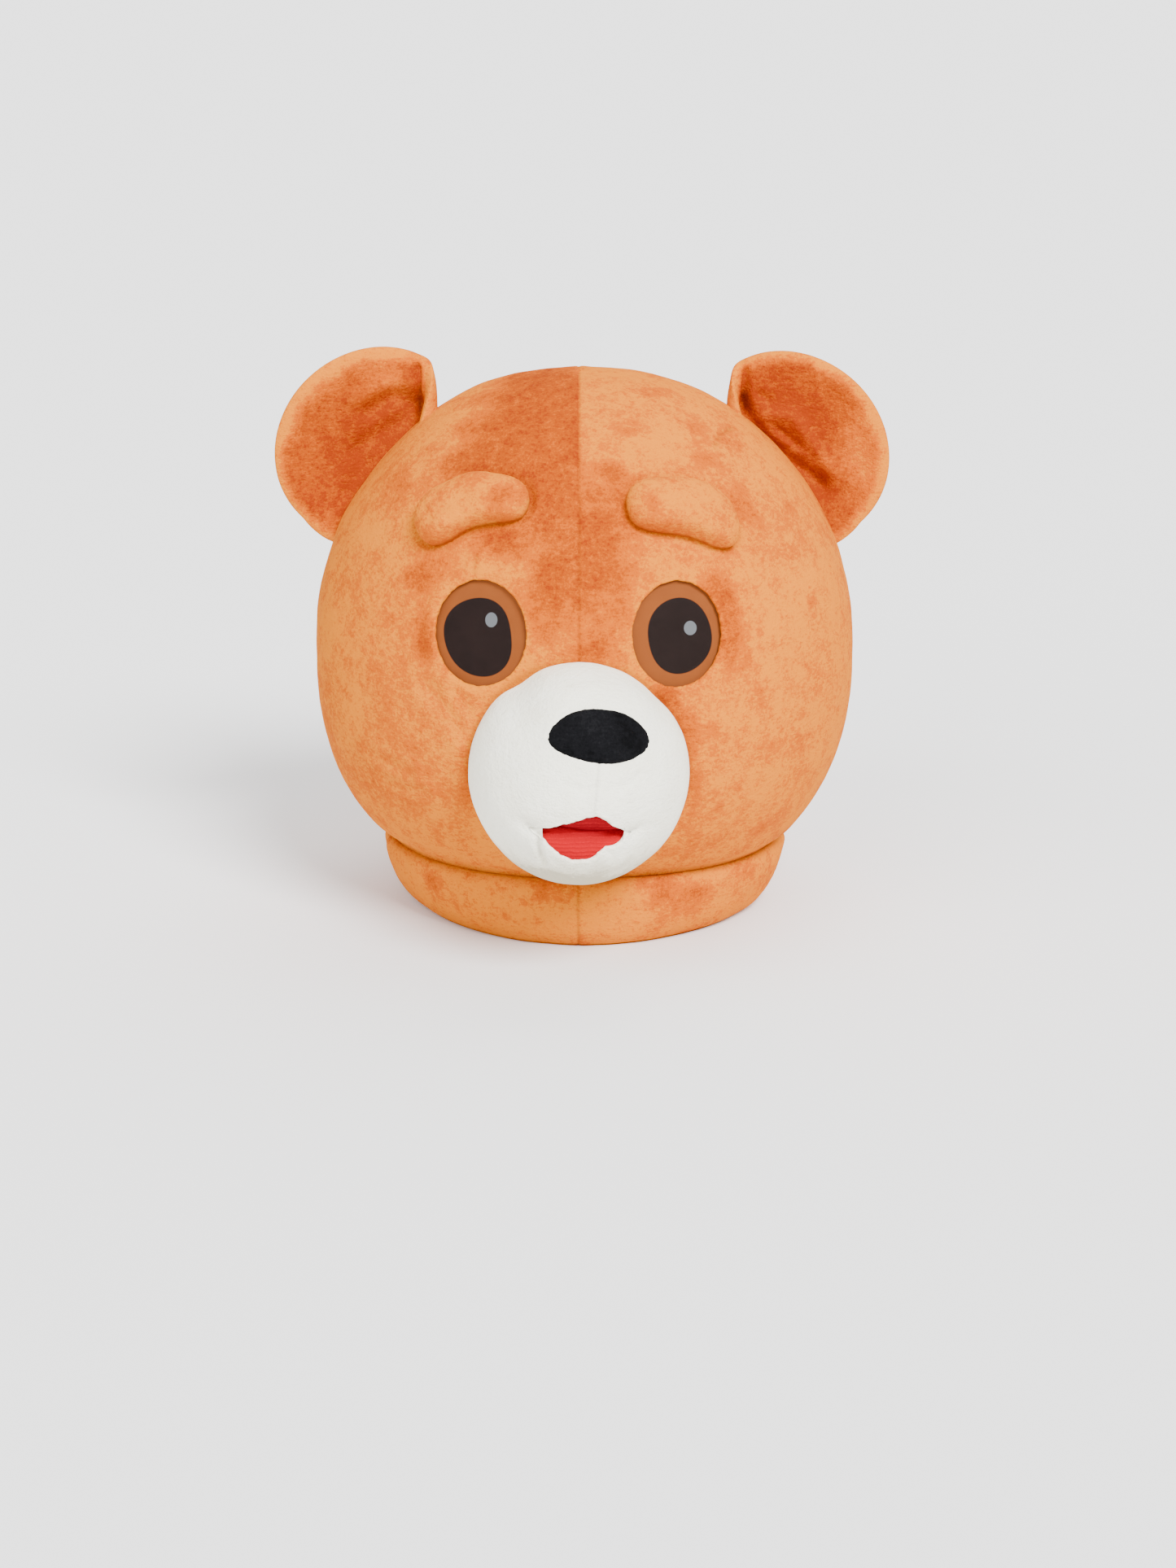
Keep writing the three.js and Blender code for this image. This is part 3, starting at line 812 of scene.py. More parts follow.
def printed_mesh(name, middle, pupil, spot_middle, spot_radii):
    """Fine woven polyester mesh, about 12 threads to the centimetre, with the eye printed on it:
    a brown ring, a dark pupil and a pale round spot. It lets a little of the inside show."""
    material, tree = new_material(name)
    mm = {"Scale": (100.0, 100.0, 1.0)}
    scaled = node(tree, "ShaderNodeMapping", mm, Vector=place_in(tree, "UV"))
    plane = node(tree, "ShaderNodeSeparateXYZ", Vector=scaled.outputs[0]).outputs[:2]
    dark = inside_waves(tree, plane, middle, radius_series(pupil))
    spot = inside_oval(tree, plane, spot_middle, spot_radii)
    turns = 2 * math.pi / THREAD
    threads = [calculate(tree, "SINE", calculate(tree, "MULTIPLY", v, turns)) for v in plane]
    weave = calculate(tree, "MULTIPLY", *threads)
    slack = noise(tree, place_in(tree), 14.0, 1.0)
    ring = mix(tree, slack, colour("#6A3416"), colour("#7A401C"))
    eye = mix(tree, dark, ring, mix(tree, slack, colour("#120C0B"), colour("#1C1311")))
    eye = mix(tree, spot, eye, colour("#666A6E"))
    crossings = mix(tree, dark, colour("#8A4C20"), colour("#241A18"))
    eye = mix(tree, ramp(tree, weave, -0.6, 1.4), eye, crossings)
    cover = calculate(tree, "MAXIMUM", ramp(tree, weave, -1.6, 0.3), spot)
    cover = calculate(tree, "MULTIPLY_ADD", cover, 0.16, 0.82)
    finish(tree, eye, 0.6, 0.05, weave, 0.2, 0.0003, Alpha=cover)
    return material


def white_paper():
    """Matt white paper for the floor."""
    material, tree = new_material("white_paper")
    finish(tree, (0.85, 0.85, 0.85, 1.0), 1.0, 0.0)
    return material


# Head

# Lumps of the stuffing under the head's plush: how high and how large in mm, and seed
HEAD_LUMPS = [(1.5, 75, 1), (0.7, 33, 2), (0.22, 12, 3)]
# Darts in the plush: the line that each follows, its depth and half its breadth in mm
HEAD_DARTS = [
    ([(103, -40, 168), (94, -56, 168), (89, -74, 162)], 1.3, 1.9),
    ([(-73, -139, 101), (-75, -147, 86)], 0.9, 2.2),
    ([(-126, -60, 135), (-130, -52, 134)], 0.9, 2.0),
]
# Soft folds where the shell gives: line, depth and half its breadth in mm
HEAD_FOLDS = [
    ([(-107, -148, 12), (-93, -161, -2), (-81, -165, -18)], 1.3, 5.0),
    ([(-87, -158, 12), (-79, -162, 0), (-74, -167, -10)], 0.9, 3.5),
    ([(-152, -116, -45), (-136, -130, -49), (-123, -140, -52)], 1.1, 4.0),
    ([(-140, -121, -64), (-127, -132, -66), (-113, -142, -66)], 1.0, 4.0),
]
# How the plush turns in at an eye: each row's place inside the opening's edge and below the
# surface, in mm. It ends behind the eye panel.
EYE_LIP = [
    (0.5, 0.1), (1.1, 0.5), (1.5, 1.1), (1.6, 1.9), (1.3, 2.8), (0.2, 3.4), (-3.0, 3.6),
    (-PANEL_MARGIN - GAP, 4.0), (-PANEL_MARGIN - GAP, 9.0), (-PANEL_MARGIN - GAP, 15.0),
]
# Where each brow's seam runs over the forehead, round from its outer end
BROW_OUTLINES = {
    -1: [
        (-114, -103, 118), (-111, -113, 108), (-105, -122, 102), (-96, -126, 105), (-88, -128, 110),
        (-75, -129, 118), (-57, -133, 122), (-44, -136, 124), (-37, -134, 130), (-35, -128, 137),
        (-37, -122, 144), (-42, -117, 148), (-57, -110, 150), (-71, -104, 149), (-82, -101, 146),
        (-89, -101, 141), (-99, -98, 137), (-105, -99, 131), (-111, -100, 124),
    ],
    1: [
        (27, -128, 139), (29, -123, 145), (34, -119, 148), (43, -116, 148), (54, -113, 148),
        (66, -109, 147), (77, -107, 144), (87, -105, 139), (94, -106, 132), (100, -109, 124),
        (103, -114, 115), (103, -119, 108), (101, -124, 103), (96, -128, 102), (92, -130, 103),
        (83, -132, 107), (74, -134, 111), (64, -136, 114), (56, -137, 116), (46, -140, 117),
        (38, -140, 119), (32, -139, 123), (28, -137, 127), (27, -132, 134),
    ],
}


def line_distance(points, line):
    """The distance of points to a line of straight parts."""
    best = np.full(points.shape[:-1], 1e9)
    for start, end in zip(line[:-1], line[1:]):
        start, way = np.array(start, float), np.subtract(end, start, dtype=float)
        share = np.clip(((points - start) @ way) / (way @ way), 0, 1)
        best = np.minimum(best, length(points - start - share[..., None] * way))
    return best


def beyond_muzzle(points):
    """How far points lie outside the muzzle's form, in mm at its sides."""
    level = length((points - MUZZLE_MIDDLE) / MUZZLE_AXES)
    return np.maximum(level - 1, 0) * MUZZLE_WIDTH / 2


def brow_seat(side):
    """A frame on the forehead in the middle of a brow."""
    middle = np.mean(BROW_OUTLINES[side], 0)
    return face_frame(middle[0], middle[2])


def brow_edge(side):
    """The rule for the outline that a brow is sewn down along, in its seat's plane."""
    places = in_plane(head_surface(np.array(BROW_OUTLINES[side], float)), brow_seat(side))
    return outline(places[::-1], 6)


def from_brows(points):
    """The distance of points to the seam round each brow, whichever is nearer."""
    away = []
    for side in (-1, 1):
        edge = brow_edge(side)(np.linspace(0, 2 * np.pi, 49))
        away.append(line_distance(points, on_surface(edge, brow_seat(side), head_surface)))
    return np.minimum(*away)


def head_rise(points):
    """How far the plush stands above the head's plain form: lumps of the stuffing, the centre
    seam with its puckers, the darts, and the dips round the muzzle, brows and neck."""
    x, y, z = np.moveaxis(points, -1, 0)
    from_seam = abs(x - FACE_SHIFT)
    stitch = 0.75 + 0.25 * np.sin(np.arctan2(z, y) * 190 * 2 * np.pi / STITCH)
    tug = 0.5 * lumps(points, 9, 4) * hump(from_seam, 9)
    rise = bumps(points, HEAD_LUMPS)
    rise = rise - 1.1 * stitch * hump(from_seam, 1.3) + 0.6 * hump(from_seam, 9) + tug
    for line, depth, reach in HEAD_DARTS:
        away = line_distance(points, line)
        rise = rise - depth * hump(away, reach) + 0.5 * hump(away, 7)
    for line, depth, reach in HEAD_FOLDS:
        away = line_distance(points, line)
        rise = rise - depth * hump(away, reach) + 0.5 * depth * hump(away - 2.4 * reach, reach)
    rise = rise - 2.2 * hump(beyond_muzzle(points), 5) * (y < 0)
    rise = rise - 2.0 * hump(from_brows(points), 2.8) * (y < 0)
    return rise - 2.6 * hump(z + NECK_DROP, 6)


def seam_and_crease_shade(points):
    """How dark a place is painted: the parted pile along seams and darts, with painted shade down
    in them, in the creases round the brows and the muzzle, and a painted shadow at the neck.
    """
    x, y, z = np.moveaxis(points, -1, 0)
    stitch = 0.6 + 0.4 * np.sin(np.arctan2(z, y) * 1200 / STITCH)
    shade = 0.42 * hump(x - FACE_SHIFT, 0.9) * stitch
    for line, depth, reach in HEAD_DARTS:
        shade = shade + 0.5 * depth * hump(line_distance(points, line), 0.7 * reach)
    # painted shade in the creases round the brows and the muzzle, and a painted shadow under the
    # head's edge at the neck
    shade = shade + 0.9 * hump(from_brows(points), 1.5) * (y < 0)
    shade = shade + 0.55 * hump(beyond_muzzle(points), 2.2) * (y < 0)
    return shade + 0.65 * hump(z + NECK_DROP, 2.6)


def brushed(points):
    """The lie of the pile over the head: the table's patches, broken up by noise."""
    x, y, z = np.moveaxis(points, -1, 0)
    total = 0.0
    for px, py, pz, wide, tall, deep, side in BRUSHED_FACE:
        away = np.sqrt(((x - px) / wide) ** 2 + ((y - py) ** 2 + (z - pz) ** 2) / tall**2)
        patch = deep * np.exp(-(np.maximum(away - 0.35, 0) ** 2) * 1.6)
        if side:
            patch = patch * smooth(0.5 + side * (x - FACE_SHIFT) / 2.0)
        total = total + patch
    total = total + 0.22 * lumps(points, 34, 11) + 0.16 * lumps(points, 13, 12)
    total = total + 0.45 * smooth(y / 60.0) * lumps(points, 45, 13)  # behind, where none shows
    return np.clip(0.12 + 0.8 * total, 0, 1)


def head_directions(turns, shares):
    """Directions from the crown down to the neck's edge, which lies at one level all round."""
    seam = level_share(-NECK_DROP)
    plan = np.stack([np.sin(turns), -np.cos(turns)], -1)
    reach = (
        abs(plan[:, 0] / (seam * HEAD_WIDTH / 2)) ** PLAN_FULLNESS
        + abs(plan[:, 1] / (seam * HEAD_DEPTH / 2)) ** PLAN_FULLNESS
    ) ** (-1 / PLAN_FULLNESS)
    tilt = shares[:, None] * (np.pi / 2 + np.arctan2(NECK_DROP, reach))[None]
    sin = np.sin(tilt)
    return np.stack([sin * plan[None, :, 0], sin * plan[None, :, 1], np.cos(tilt)], -1)


def make_head(material, dark):
    """The padded shell: outer plush from the crown to the neck with an opening turned in at each
    eye, a lined cavity inside, and a flat edge at the neck that joins them."""
    turns = round_turns(HEAD_COLUMNS, [(0, 2.6, 5), (0, 62, 1.5), (180, 3, 2)])
    shares = spaced(HEAD_ROWS, 0, 1, [(0.62, 0.22, 0.6), (1, 0.03, 1)])[1:]
    base = head_surface(head_directions(turns, shares))
    shift = FACE_SHIFT * hump(base[..., 0], 80)
    base = head_surface(base + shift[..., None] * np.array([1.0, 0, 0]))
    openings = []
    near_eye = np.zeros(base.shape[:-1])
    for side in (-1, 1):
        seat = eye_frame(side)
        column = int(np.argmin(abs(turns - np.arctan2(seat[0][0], -seat[0][1]))))
        row = nearest_row(base, column, seat[0])
        edge = ragged(ellipse(EYE_WIDTH + EYE_WIDER[side], EYE_HEIGHT + EYE_TALLER), 0.012)
        step, angle = round_block(
            base, row, column, EYE_BLOCK, EYE_RING, seat, head_surface, edge, EYE_LIP
        )
        openings.append((row, column, seat))
        # pulls and small wrinkles of the plush round the opening
        away = np.maximum(step - EYE_RING, 0) * EYE_CELL
        place = np.stack([np.cos(angle) * 9, np.sin(angle) * 9, away * 0.25], -1)
        pull = 0.5 * lumps(place, 1.6, 20 + side) * hump(away - 3, 5) + 0.5 * hump(away - 3.5, 3)
        near_eye[around(row, column, EYE_BLOCK)] += pull * (step > EYE_RING)
    rise = head_rise(base)
    for row, column, _ in openings:
        rise[around(row, column, EYE_RING - 1)] *= 0.6
    skin = base + unit(base) * (rise + near_eye)[..., None]
    skin[-1, :, 2] = -NECK_DROP
    crown = head_surface(UP * CROWN_HEIGHT)[None, None] + UP
    nap = brushed(skin)

    # cavity, coarser, with each opening at the back of its throat
    back_shares = np.linspace(0, 1, CAVITY_ROWS + 1)[1:]
    back = head_directions(turns[:: HEAD_COLUMNS // CAVITY_COLUMNS], back_shares)
    cavity = head_surface(back, -HEAD_WALL)
    holes = []
    for _, _, seat in openings:
        column = int(np.argmin(length(cavity[CAVITY_ROWS // 2] - seat[0])))
        row = nearest_row(cavity, column, seat[0])
        round_block(
            cavity, row, column, THROAT_BLOCK, THROAT_RING, seat,
            lambda aim, depth: head_surface(aim, depth - HEAD_WALL),
            ellipse(PANEL_WIDTH, PANEL_HEIGHT), [],
        )
        holes.append((row, column))
    cavity[-1, :, 2] = -NECK_DROP
    cavity_top = head_surface(UP * CROWN_HEIGHT, -HEAD_WALL)[None, None]

    points, (i_crown, i_skin, i_top, i_cavity) = flatten(crown, skin, cavity_top, cavity)
    cut_skin, cut_cavity, throats = i_skin, i_cavity, []
    reach = EYE_RING - len(EYE_LIP)
    for (row, column, _), hole in zip(openings, holes):
        cut_skin = opened(cut_skin, row, column, reach)
        cut_cavity = opened(cut_cavity, *hole, THROAT_RING)
        throat = ring_of(i_cavity, *hole, THROAT_RING)
        throats.append(zip_rings(ring_of(i_skin, row, column, reach), throat))
    neck = zip_rings(i_skin[-1], i_cavity[-1])[:, ::-1]
    faces = [fan(i_skin[0], i_crown[0, 0]), wrap(cut_skin), neck]
    dark_faces = [fan(i_cavity[0], i_top[0, 0])[:, ::-1], wrap(cut_cavity)[:, ::-1], *throats]
    values, shade = np.zeros(len(points)), np.zeros(len(points))
    values[i_crown[0, 0]] = nap[0].mean()
    values[i_skin.ravel()] = nap.ravel()
    shade[i_skin.ravel()] = seam_and_crease_shade(skin).ravel()
    values = {"nap": values, "seam": shade}
    head = add_piece("plush_head", points, faces + dark_faces, material, values)
    head.data.materials.append(dark)
    which = np.zeros(len(head.data.polygons), np.int32)
    which[sum(len(f) for f in faces) :] = 1
    head.data.polygons.foreach_set("material_index", which)
    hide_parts("head_shell")


# Ears

# Folds inside each ear: places as u and v, then depth (below 0 a crest) and half the breadth in
# mm. The last one runs along the corner that is folded forward.
EAR_CORNER = ([(0.56, -0.2), (0.72, -0.02), (0.88, 0.16)], 3.6, 3.2)
EAR_FOLDS = {
    1: [
        ([(0.69, -0.1), (0.32, -0.2), (-0.02, -0.15), (-0.46, -0.05)], 6.5, 5.5),
        ([(0.46, -0.2), (0.42, 0.04), (0.24, 0.21), (-0.03, 0.18), (-0.4, 0.15)], -3.0, 5.0),
        ([(0.23, 0.0), (-0.01, 0.05)], 3.0, 3.5),
        ([(0.62, 0.1), (0.52, 0.14)], 2.0, 3.5),
        ([(-0.5, -0.1), (-0.75, 0.1)], 2.0, 7.0),
        EAR_CORNER,
    ],
    -1: [
        ([(0.23, 0.44), (0.46, 0.35), (0.67, 0.22), (0.76, 0.06)], -2.4, 6.0),
        ([(0.23, 0.24), (0.5, 0.16), (0.58, -0.08)], 3.6, 6.5),
        ([(0.55, -0.17), (0.2, -0.05), (-0.14, 0.05)], 4.0, 8.0),
        ([(-0.2, -0.1), (-0.5, -0.2)], 2.5, 7.0),
        EAR_CORNER,
    ],
}
# Deeper and paler patches inside each ear, the paler ones at the rim partly a painted sheen:
# u, v, reach and how deep
EAR_BRUSHED = {
    1: [
        (0.3, -0.1, 0.35, 0.25), (0.1, 0.1, 0.6, 0.3), (-0.2, -0.5, 0.3, 0.3),
        (-0.2, 0.8, 0.3, -0.6), (-0.6, 0.55, 0.32, -0.75), (-0.9, 0.2, 0.3, -0.6),
        (0.4, 0.75, 0.3, -0.2),
    ],
    -1: [
        (0.35, -0.1, 0.4, 0.3), (-0.1, -0.4, 0.35, 0.3), (0.0, 0.92, 0.22, -0.85),
        (0.4, 0.85, 0.24, -0.85), (0.75, 0.55, 0.22, -0.8), (-0.4, 0.85, 0.22, -0.75),
        (0.6, 0.2, 0.14, -0.3), (0.15, 0.35, 0.2, 0.1),
    ],
}


def ear_plan(along, height):
    """Where an ear's disc runs in plan: straight along its seam, then round a slanted fold to the
    front. Gives the place along the seam, the place forward and the angle turned so far."""
    start = EAR_FOLD_START + EAR_FOLD_SLANT * height
    angle = np.clip((along - start) / EAR_FOLD_RADIUS, 0, math.radians(EAR_FOLD_TURN))
    past = along - start - angle * EAR_FOLD_RADIUS
    seam = start + EAR_FOLD_RADIUS * np.sin(angle) + past * np.cos(angle)
    ahead = EAR_FOLD_RADIUS * (1 - np.cos(angle)) + past * np.sin(angle)
    flat = along < start
    return np.where(flat, along, seam), np.where(flat, 0.0, ahead), np.where(flat, 0.0, angle)


def ear_place(u, v, level=0.0):
    """A place in an ear's own plane in mm, at a level."""
    return np.stack([u * EAR_LENGTH / 2, v * EAR_HEIGHT / 2, level + 0 * v], -1)


def ear_folds(side, u, v):
    """How deep the folds inside an ear lie at u and v."""
    total = 0.0
    for line, deep, wide in EAR_FOLDS[side]:
        line = [ear_place(*place) for place in line]
        total = total + deep * hump(line_distance(ear_place(u, v), line), wide)
    return total


def make_ear(side, material):
    """One ear: a round padded disc cupped to the front, whose inner corner is folded forward.

    On a ball's grid u runs to the crown, v outwards and w to the front. The padding is
    |w|^0.6 of the half thickness, the cup grows as the square of the distance from the middle.
    """
    lean = math.radians(EAR_ANGLE)
    out = np.array([side * math.sin(lean), 0.0, math.cos(lean)])
    seam_line = np.array([-side * math.cos(lean), 0.0, math.sin(lean)])
    middle = head_surface(out) + out * EAR_STAND[side] + seam_line * EAR_SHIFT
    middle[1] = EAR_SETBACK
    turns = np.linspace(-np.pi, np.pi, EAR_COLUMNS + 1)[:-1]
    tilts = spaced(EAR_ROWS, 0, np.pi, [(np.pi / 2, 0.5, 1.5)])[1:-1]
    tilt, turn = np.meshgrid(tilts, turns, indexing="ij")
    u, v, w = np.sin(tilt) * np.cos(turn), np.sin(tilt) * np.sin(turn), np.cos(tilt)

    def shape(u, v, w):
        height = v * EAR_HEIGHT / 2
        spread = 1 + EAR_BASE_SPREAD * np.maximum(0, -v)
        along, ahead, angle = ear_plan(u * spread * EAR_LENGTH / 2, height)
        padding = np.sign(w) * abs(w) ** 0.6 * EAR_PADDING / 2
        place = ear_place(u, v, side * EAR_UNLIKE)
        front = smooth(w * 3)
        soft = bumps(place, [(1.0, 30, 31), (0.5, 13, 32)]) - front * ear_folds(side, u, v)
        soft = soft + front * 1.6 * hump(np.sqrt(u**2 + v**2) - 0.86, 0.1) - 0.8 * hump(w, 0.1)
        soft = soft * (1 - hump(w, 0.12)) + 0.35 * lumps(place, 7, 33) * hump(w, 0.5)
        cup = EAR_CUP * (np.minimum(u, 0) ** 2 + v**2)
        forward = cup + padding + soft * np.where(w >= 0, 1, -1)
        return out_of_head(
            middle
            + seam_line * (along - np.sin(angle) * forward)[..., None]
            + AHEAD * (ahead + np.cos(angle) * forward)[..., None]
            + out * height[..., None],
            EAR_ROOT,
        )

    # deep orange inside the cup with a paler band along the rim: partly the pile brushed down,
    # partly painted shade in the cup and a painted sheen on the rim
    front = smooth(w * 4)
    mottle = bumps(ear_place(u, v, side * EAR_UNLIKE), [(0.22, 22, 41), (0.15, 9, 42)])
    inside = smooth((1.0 - np.sqrt(u**2 + v**2)) / 0.16) * smooth(w * 5)
    nap = inside * (1.15 + mottle) + (1 - inside) * (0.05 + 0.8 * mottle)
    for pu, pv, wide, deep in EAR_BRUSHED[side]:
        nap = nap + deep * hump(np.hypot(u - pu, v - pv), wide) * front
    # painted shade down in the folds and a painted highlight on their crests
    nap = nap + 0.08 * (ear_folds(side, u, v) * front)
    poles = shape(*np.array([(0.0, 0.0, 1.0), (0.0, 0.0, -1.0)]).T)
    points, (i_poles, i_skin) = flatten(poles[None], shape(u, v, w))
    faces = [f[:, ::side] for f in ball_faces(i_poles, i_skin)]
    values = {"nap": np.concatenate([[1.0, 0.3], np.clip(nap, 0, 1.3).ravel()])}
    ear = add_piece(sided(side, "plush_ear"), points, faces, material, values)
    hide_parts("left_ear" if side > 0 else "right_ear")


# Brows

# Deeper and paler patches on each brow: u, v, reach and how deep
BROW_BRUSHED = {
    1: [
        (-0.55, -0.6, 0.35, 0.6), (-0.6, 0.4, 0.15, 0.3), (0.3, 0.3, 0.4, -0.35),
        (0.7, -0.2, 0.3, 0.1),
    ],
    -1: [
        (0.7, 0.2, 0.3, 0.5), (-0.35, 0.2, 0.25, 0.35), (-0.9, -0.2, 0.25, 0.2),
        (0.1, -0.5, 0.35, -0.3),
    ],
}


def make_brow(side, material):
    """A stuffed pad sewn to the forehead along a bean-shaped outline.

    Rings round the middle: at an angle a from the top, a ring lies at sin(a)^0.8 of the outline
    and at 0.25 + 0.75 sgn(cos a) |cos a|^0.8 of the lift, so that the pad bulges over its seam.
    """
    seat = brow_seat(side)
    slope = np.linspace(0.03, 1, BROW_ROWS)[:, None] * BROW_WRAP
    turns = circle(BROW_COLUMNS)[None]
    share = np.sin(slope) ** 0.8 + 0 * turns
    rise = 0.25 + 0.75 * np.sign(np.cos(slope)) * abs(np.cos(slope)) ** 0.8 + 0 * turns
    edge = brow_edge(side)(turns[0]) * (0.985, 0.965) - (0.0, 0.4)
    plane = share[..., None] * edge[None]
    soft = np.concatenate([plane, 12.0 * rise[..., None] + BROW_UNLIKE * side], -1)
    high = BROW_LIFT * rise * (1 + 0.09 * lumps(soft, 20, 53) + 0.035 * lumps(soft, 7, 51))
    # little puckers where the seam draws the pad in
    high = high - 0.9 * abs(lumps(raised(plane), 5.5, 52)) * hump(share - 0.97, 0.12)
    high = np.maximum(high, -BROW_ROOT)
    skin = on_surface(plane, seat, lambda aim: head_surface(aim, high))
    ends = np.stack([seat[0] + seat[3] * high[0].mean(), seat[0] - seat[3] * BROW_ROOT])
    points, (i_ends, i_skin) = flatten(ends[None], skin)
    nap = 0.14 + 0.3 * lumps(soft, 20, 54) + 0.2 * lumps(soft, 8, 55)
    u, v = plane[..., 0] / 42, plane[..., 1] / 20
    for pu, pv, wide, deep in BROW_BRUSHED[side]:
        nap = nap + deep * hump(np.hypot(u - pu, (v - pv) * 0.5), wide)
    # painted shade where the pad tucks under towards its seam
    shade = 0.8 * hump(np.minimum(rise - 0.05, 0.5), 0.16)
    values = {
        "nap": np.concatenate([[0.3, 0.3], np.clip(nap, 0, 1.2).ravel()]),
        "seam": np.concatenate([[0.0, 0.0], shade.ravel()]),
    }
    faces = ball_faces(i_ends, i_skin)
    brow = add_piece(sided(side, "plush_brow"), points, faces, material, values)
    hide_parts("left_brow" if side > 0 else "right_brow")


# Muzzle


def muzzle_surface(direction, offset=0.0):
    """The muzzle's ellipsoid in a direction from its own middle, grown by an offset."""
    axes = MUZZLE_AXES + np.asarray(offset, float)[..., None]
    return direction / length(direction / axes)[..., None] + MUZZLE_MIDDLE


def from_muzzle(aim, offset=0.0):
    """The muzzle's surface towards a place, given from the head's middle."""
    return muzzle_surface(aim - MUZZLE_MIDDLE, offset)


def muzzle_frame(turn, lift, tilt=0.0):
    """A frame on the muzzle at degrees to the wearer's left and up, tilted in its own plane."""
    turn, lift = math.radians(turn), math.radians(lift)
    level = math.cos(lift)
    out = np.array([level * math.sin(turn), -level * math.cos(turn), math.sin(lift)])
    return frame_at(muzzle_surface(out), out, tilt)


MOUTH_SEAT = muzzle_frame(MOUTH_TURN, -MOUTH_DROP, MOUTH_TILT)
NOSE_SEAT = muzzle_frame(NOSE_TURN, NOSE_LIFT)
# The lips' outline: degrees round the mouth, then mm across and up from the corners' level
LIPS = [
    (0, 34.2, -0.5), (12, 28.6, 3.4), (28, 21.6, 8.4), (50, 15.4, 13.8), (72, 9.4, 17.6),
    (95, 2.2, 16.8), (120, -6.0, 13.2), (145, -14.6, 9.6), (165, -23.6, 4.8), (180, -37.0, -0.5),
    (196, -26.2, -6.7), (214, -20.6, -13.4), (236, -13.8, -19.2), (255, -5.2, -22.6),
    (272, 3.4, -22.2), (292, 9.6, -18.4), (310, 14.2, -12.9), (326, 18.0, -9.9), (340, 22.8, -9.4),
    (351, 28.8, -5.2),
]
# How the plush turns in at the lips, as at the eyes
MOUTH_LIP = [(0.6, 0.2), (1.3, 0.8), (1.7, 1.8), (1.7, 3.0), (1.2, 5.0), (0.4, 8.0), (0.0, 12.0)]
# Fullness over and under the lips, and hollows that run out from the corners: across and up from
# the mouth, reach across and up, and height, in mm
MUZZLE_PADS = [
    (-33, 1, 11, 6, -1.6), (34, -1, 11, 5.5, -1.4), (-14, 19, 14, 7, 0.9), (20, 19, 12, 6, 0.7),
    (-8, -32, 20, 8, 1.4), (25, -22, 12, 9, 1.0), (-35, -14, 8, 9, 1.0), (14, 34, 30, 7, -0.5),
    (-46, 62, 16, 12, -3.0), (52, 56, 13, 14, -1.8), (30, -40, 16, 10, -1.2),
]
# Tucks in the muzzle's plush: line across and up from the mouth, depth and half the breadth in mm
MUZZLE_TUCKS = [
    ([(-29, -3), (-28.6, -12), (-26, -21), (-23, -29)], 2.2, 1.8),
    ([(-34, 0), (-38, 1)], 1.5, 4.6),
    ([(34, 0), (38, 1)], 1.3, 4.4),
    ([(17, -11), (21, -17), (23, -24)], 0.9, 2.2),
    ([(-14, 36), (-2, 33), (8, 35)], 0.7, 1.8),
    ([(14, 33), (26, 34), (36, 38)], 0.7, 2.0),
    ([(-20, -34), (-14, -38), (-6, -40)], 1.2, 3.0),
]
# Painted shade down in such tucks
TUCK_PAINTED_SHADES = [[(-29, -3), (-28.6, -12), (-26, -21)], [(-32, 0), (-36, 1)], [(32, 0), (36, 1)]]


def lips(angle):
    """The lips' outline at an angle round the mouth."""
    table = np.array(LIPS, float)
    looped = np.concatenate([table[-3:] - (360, 0, 0), table, table[:3] + (360, 0, 0)])
    degrees = np.degrees(angle) % 360
    return np.stack([np.interp(degrees, looped[:, 0], looped[:, k]) for k in (1, 2)], -1)


def from_tuck(plane, line):
    """The distance of places in the mouth's plane to a line in it."""
    return line_distance(raised(plane), [(*place, 0) for place in line])


def muzzle_seam(plane):
    """How far places in the mouth's plane lie beside the seam from the nose to the mouth, and
    how much of the seam runs at their level."""
    x, z = plane[..., 0], plane[..., 1]
    return x - 5.5 - 0.06 * z, smooth((z - 9) / 4) * smooth((62 - z) / 8)


def muzzle_rise(points):
    """How far the muzzle's plush stands above its plain form: the stuffing's lumps, the seam from
    the nose to the mouth, and the tucks at the corners of the mouth."""
    plane = in_plane(points, MOUTH_SEAT)
    x, z = plane[..., 0], plane[..., 1]
    seam, along = muzzle_seam(plane)
    rise = bumps(points, [(1.0, 50, 61), (0.5, 22, 62), (0.12, 8, 63)])
    rise = rise - 0.9 * along * hump(seam, 1.1) + 0.5 * along * hump(seam, 5)
    for cx, cz, wide, tall, high in MUZZLE_PADS:
        rise = rise + high * np.exp(-(((x - cx) / wide) ** 2) - ((z - cz) / tall) ** 2)
    for line, deep, wide in MUZZLE_TUCKS:
        away = from_tuck(plane, line)
        rise = rise - deep * hump(away, wide) + 0.18 * deep * hump(away - wide * 2.6, 1.3 * wide)
    return rise


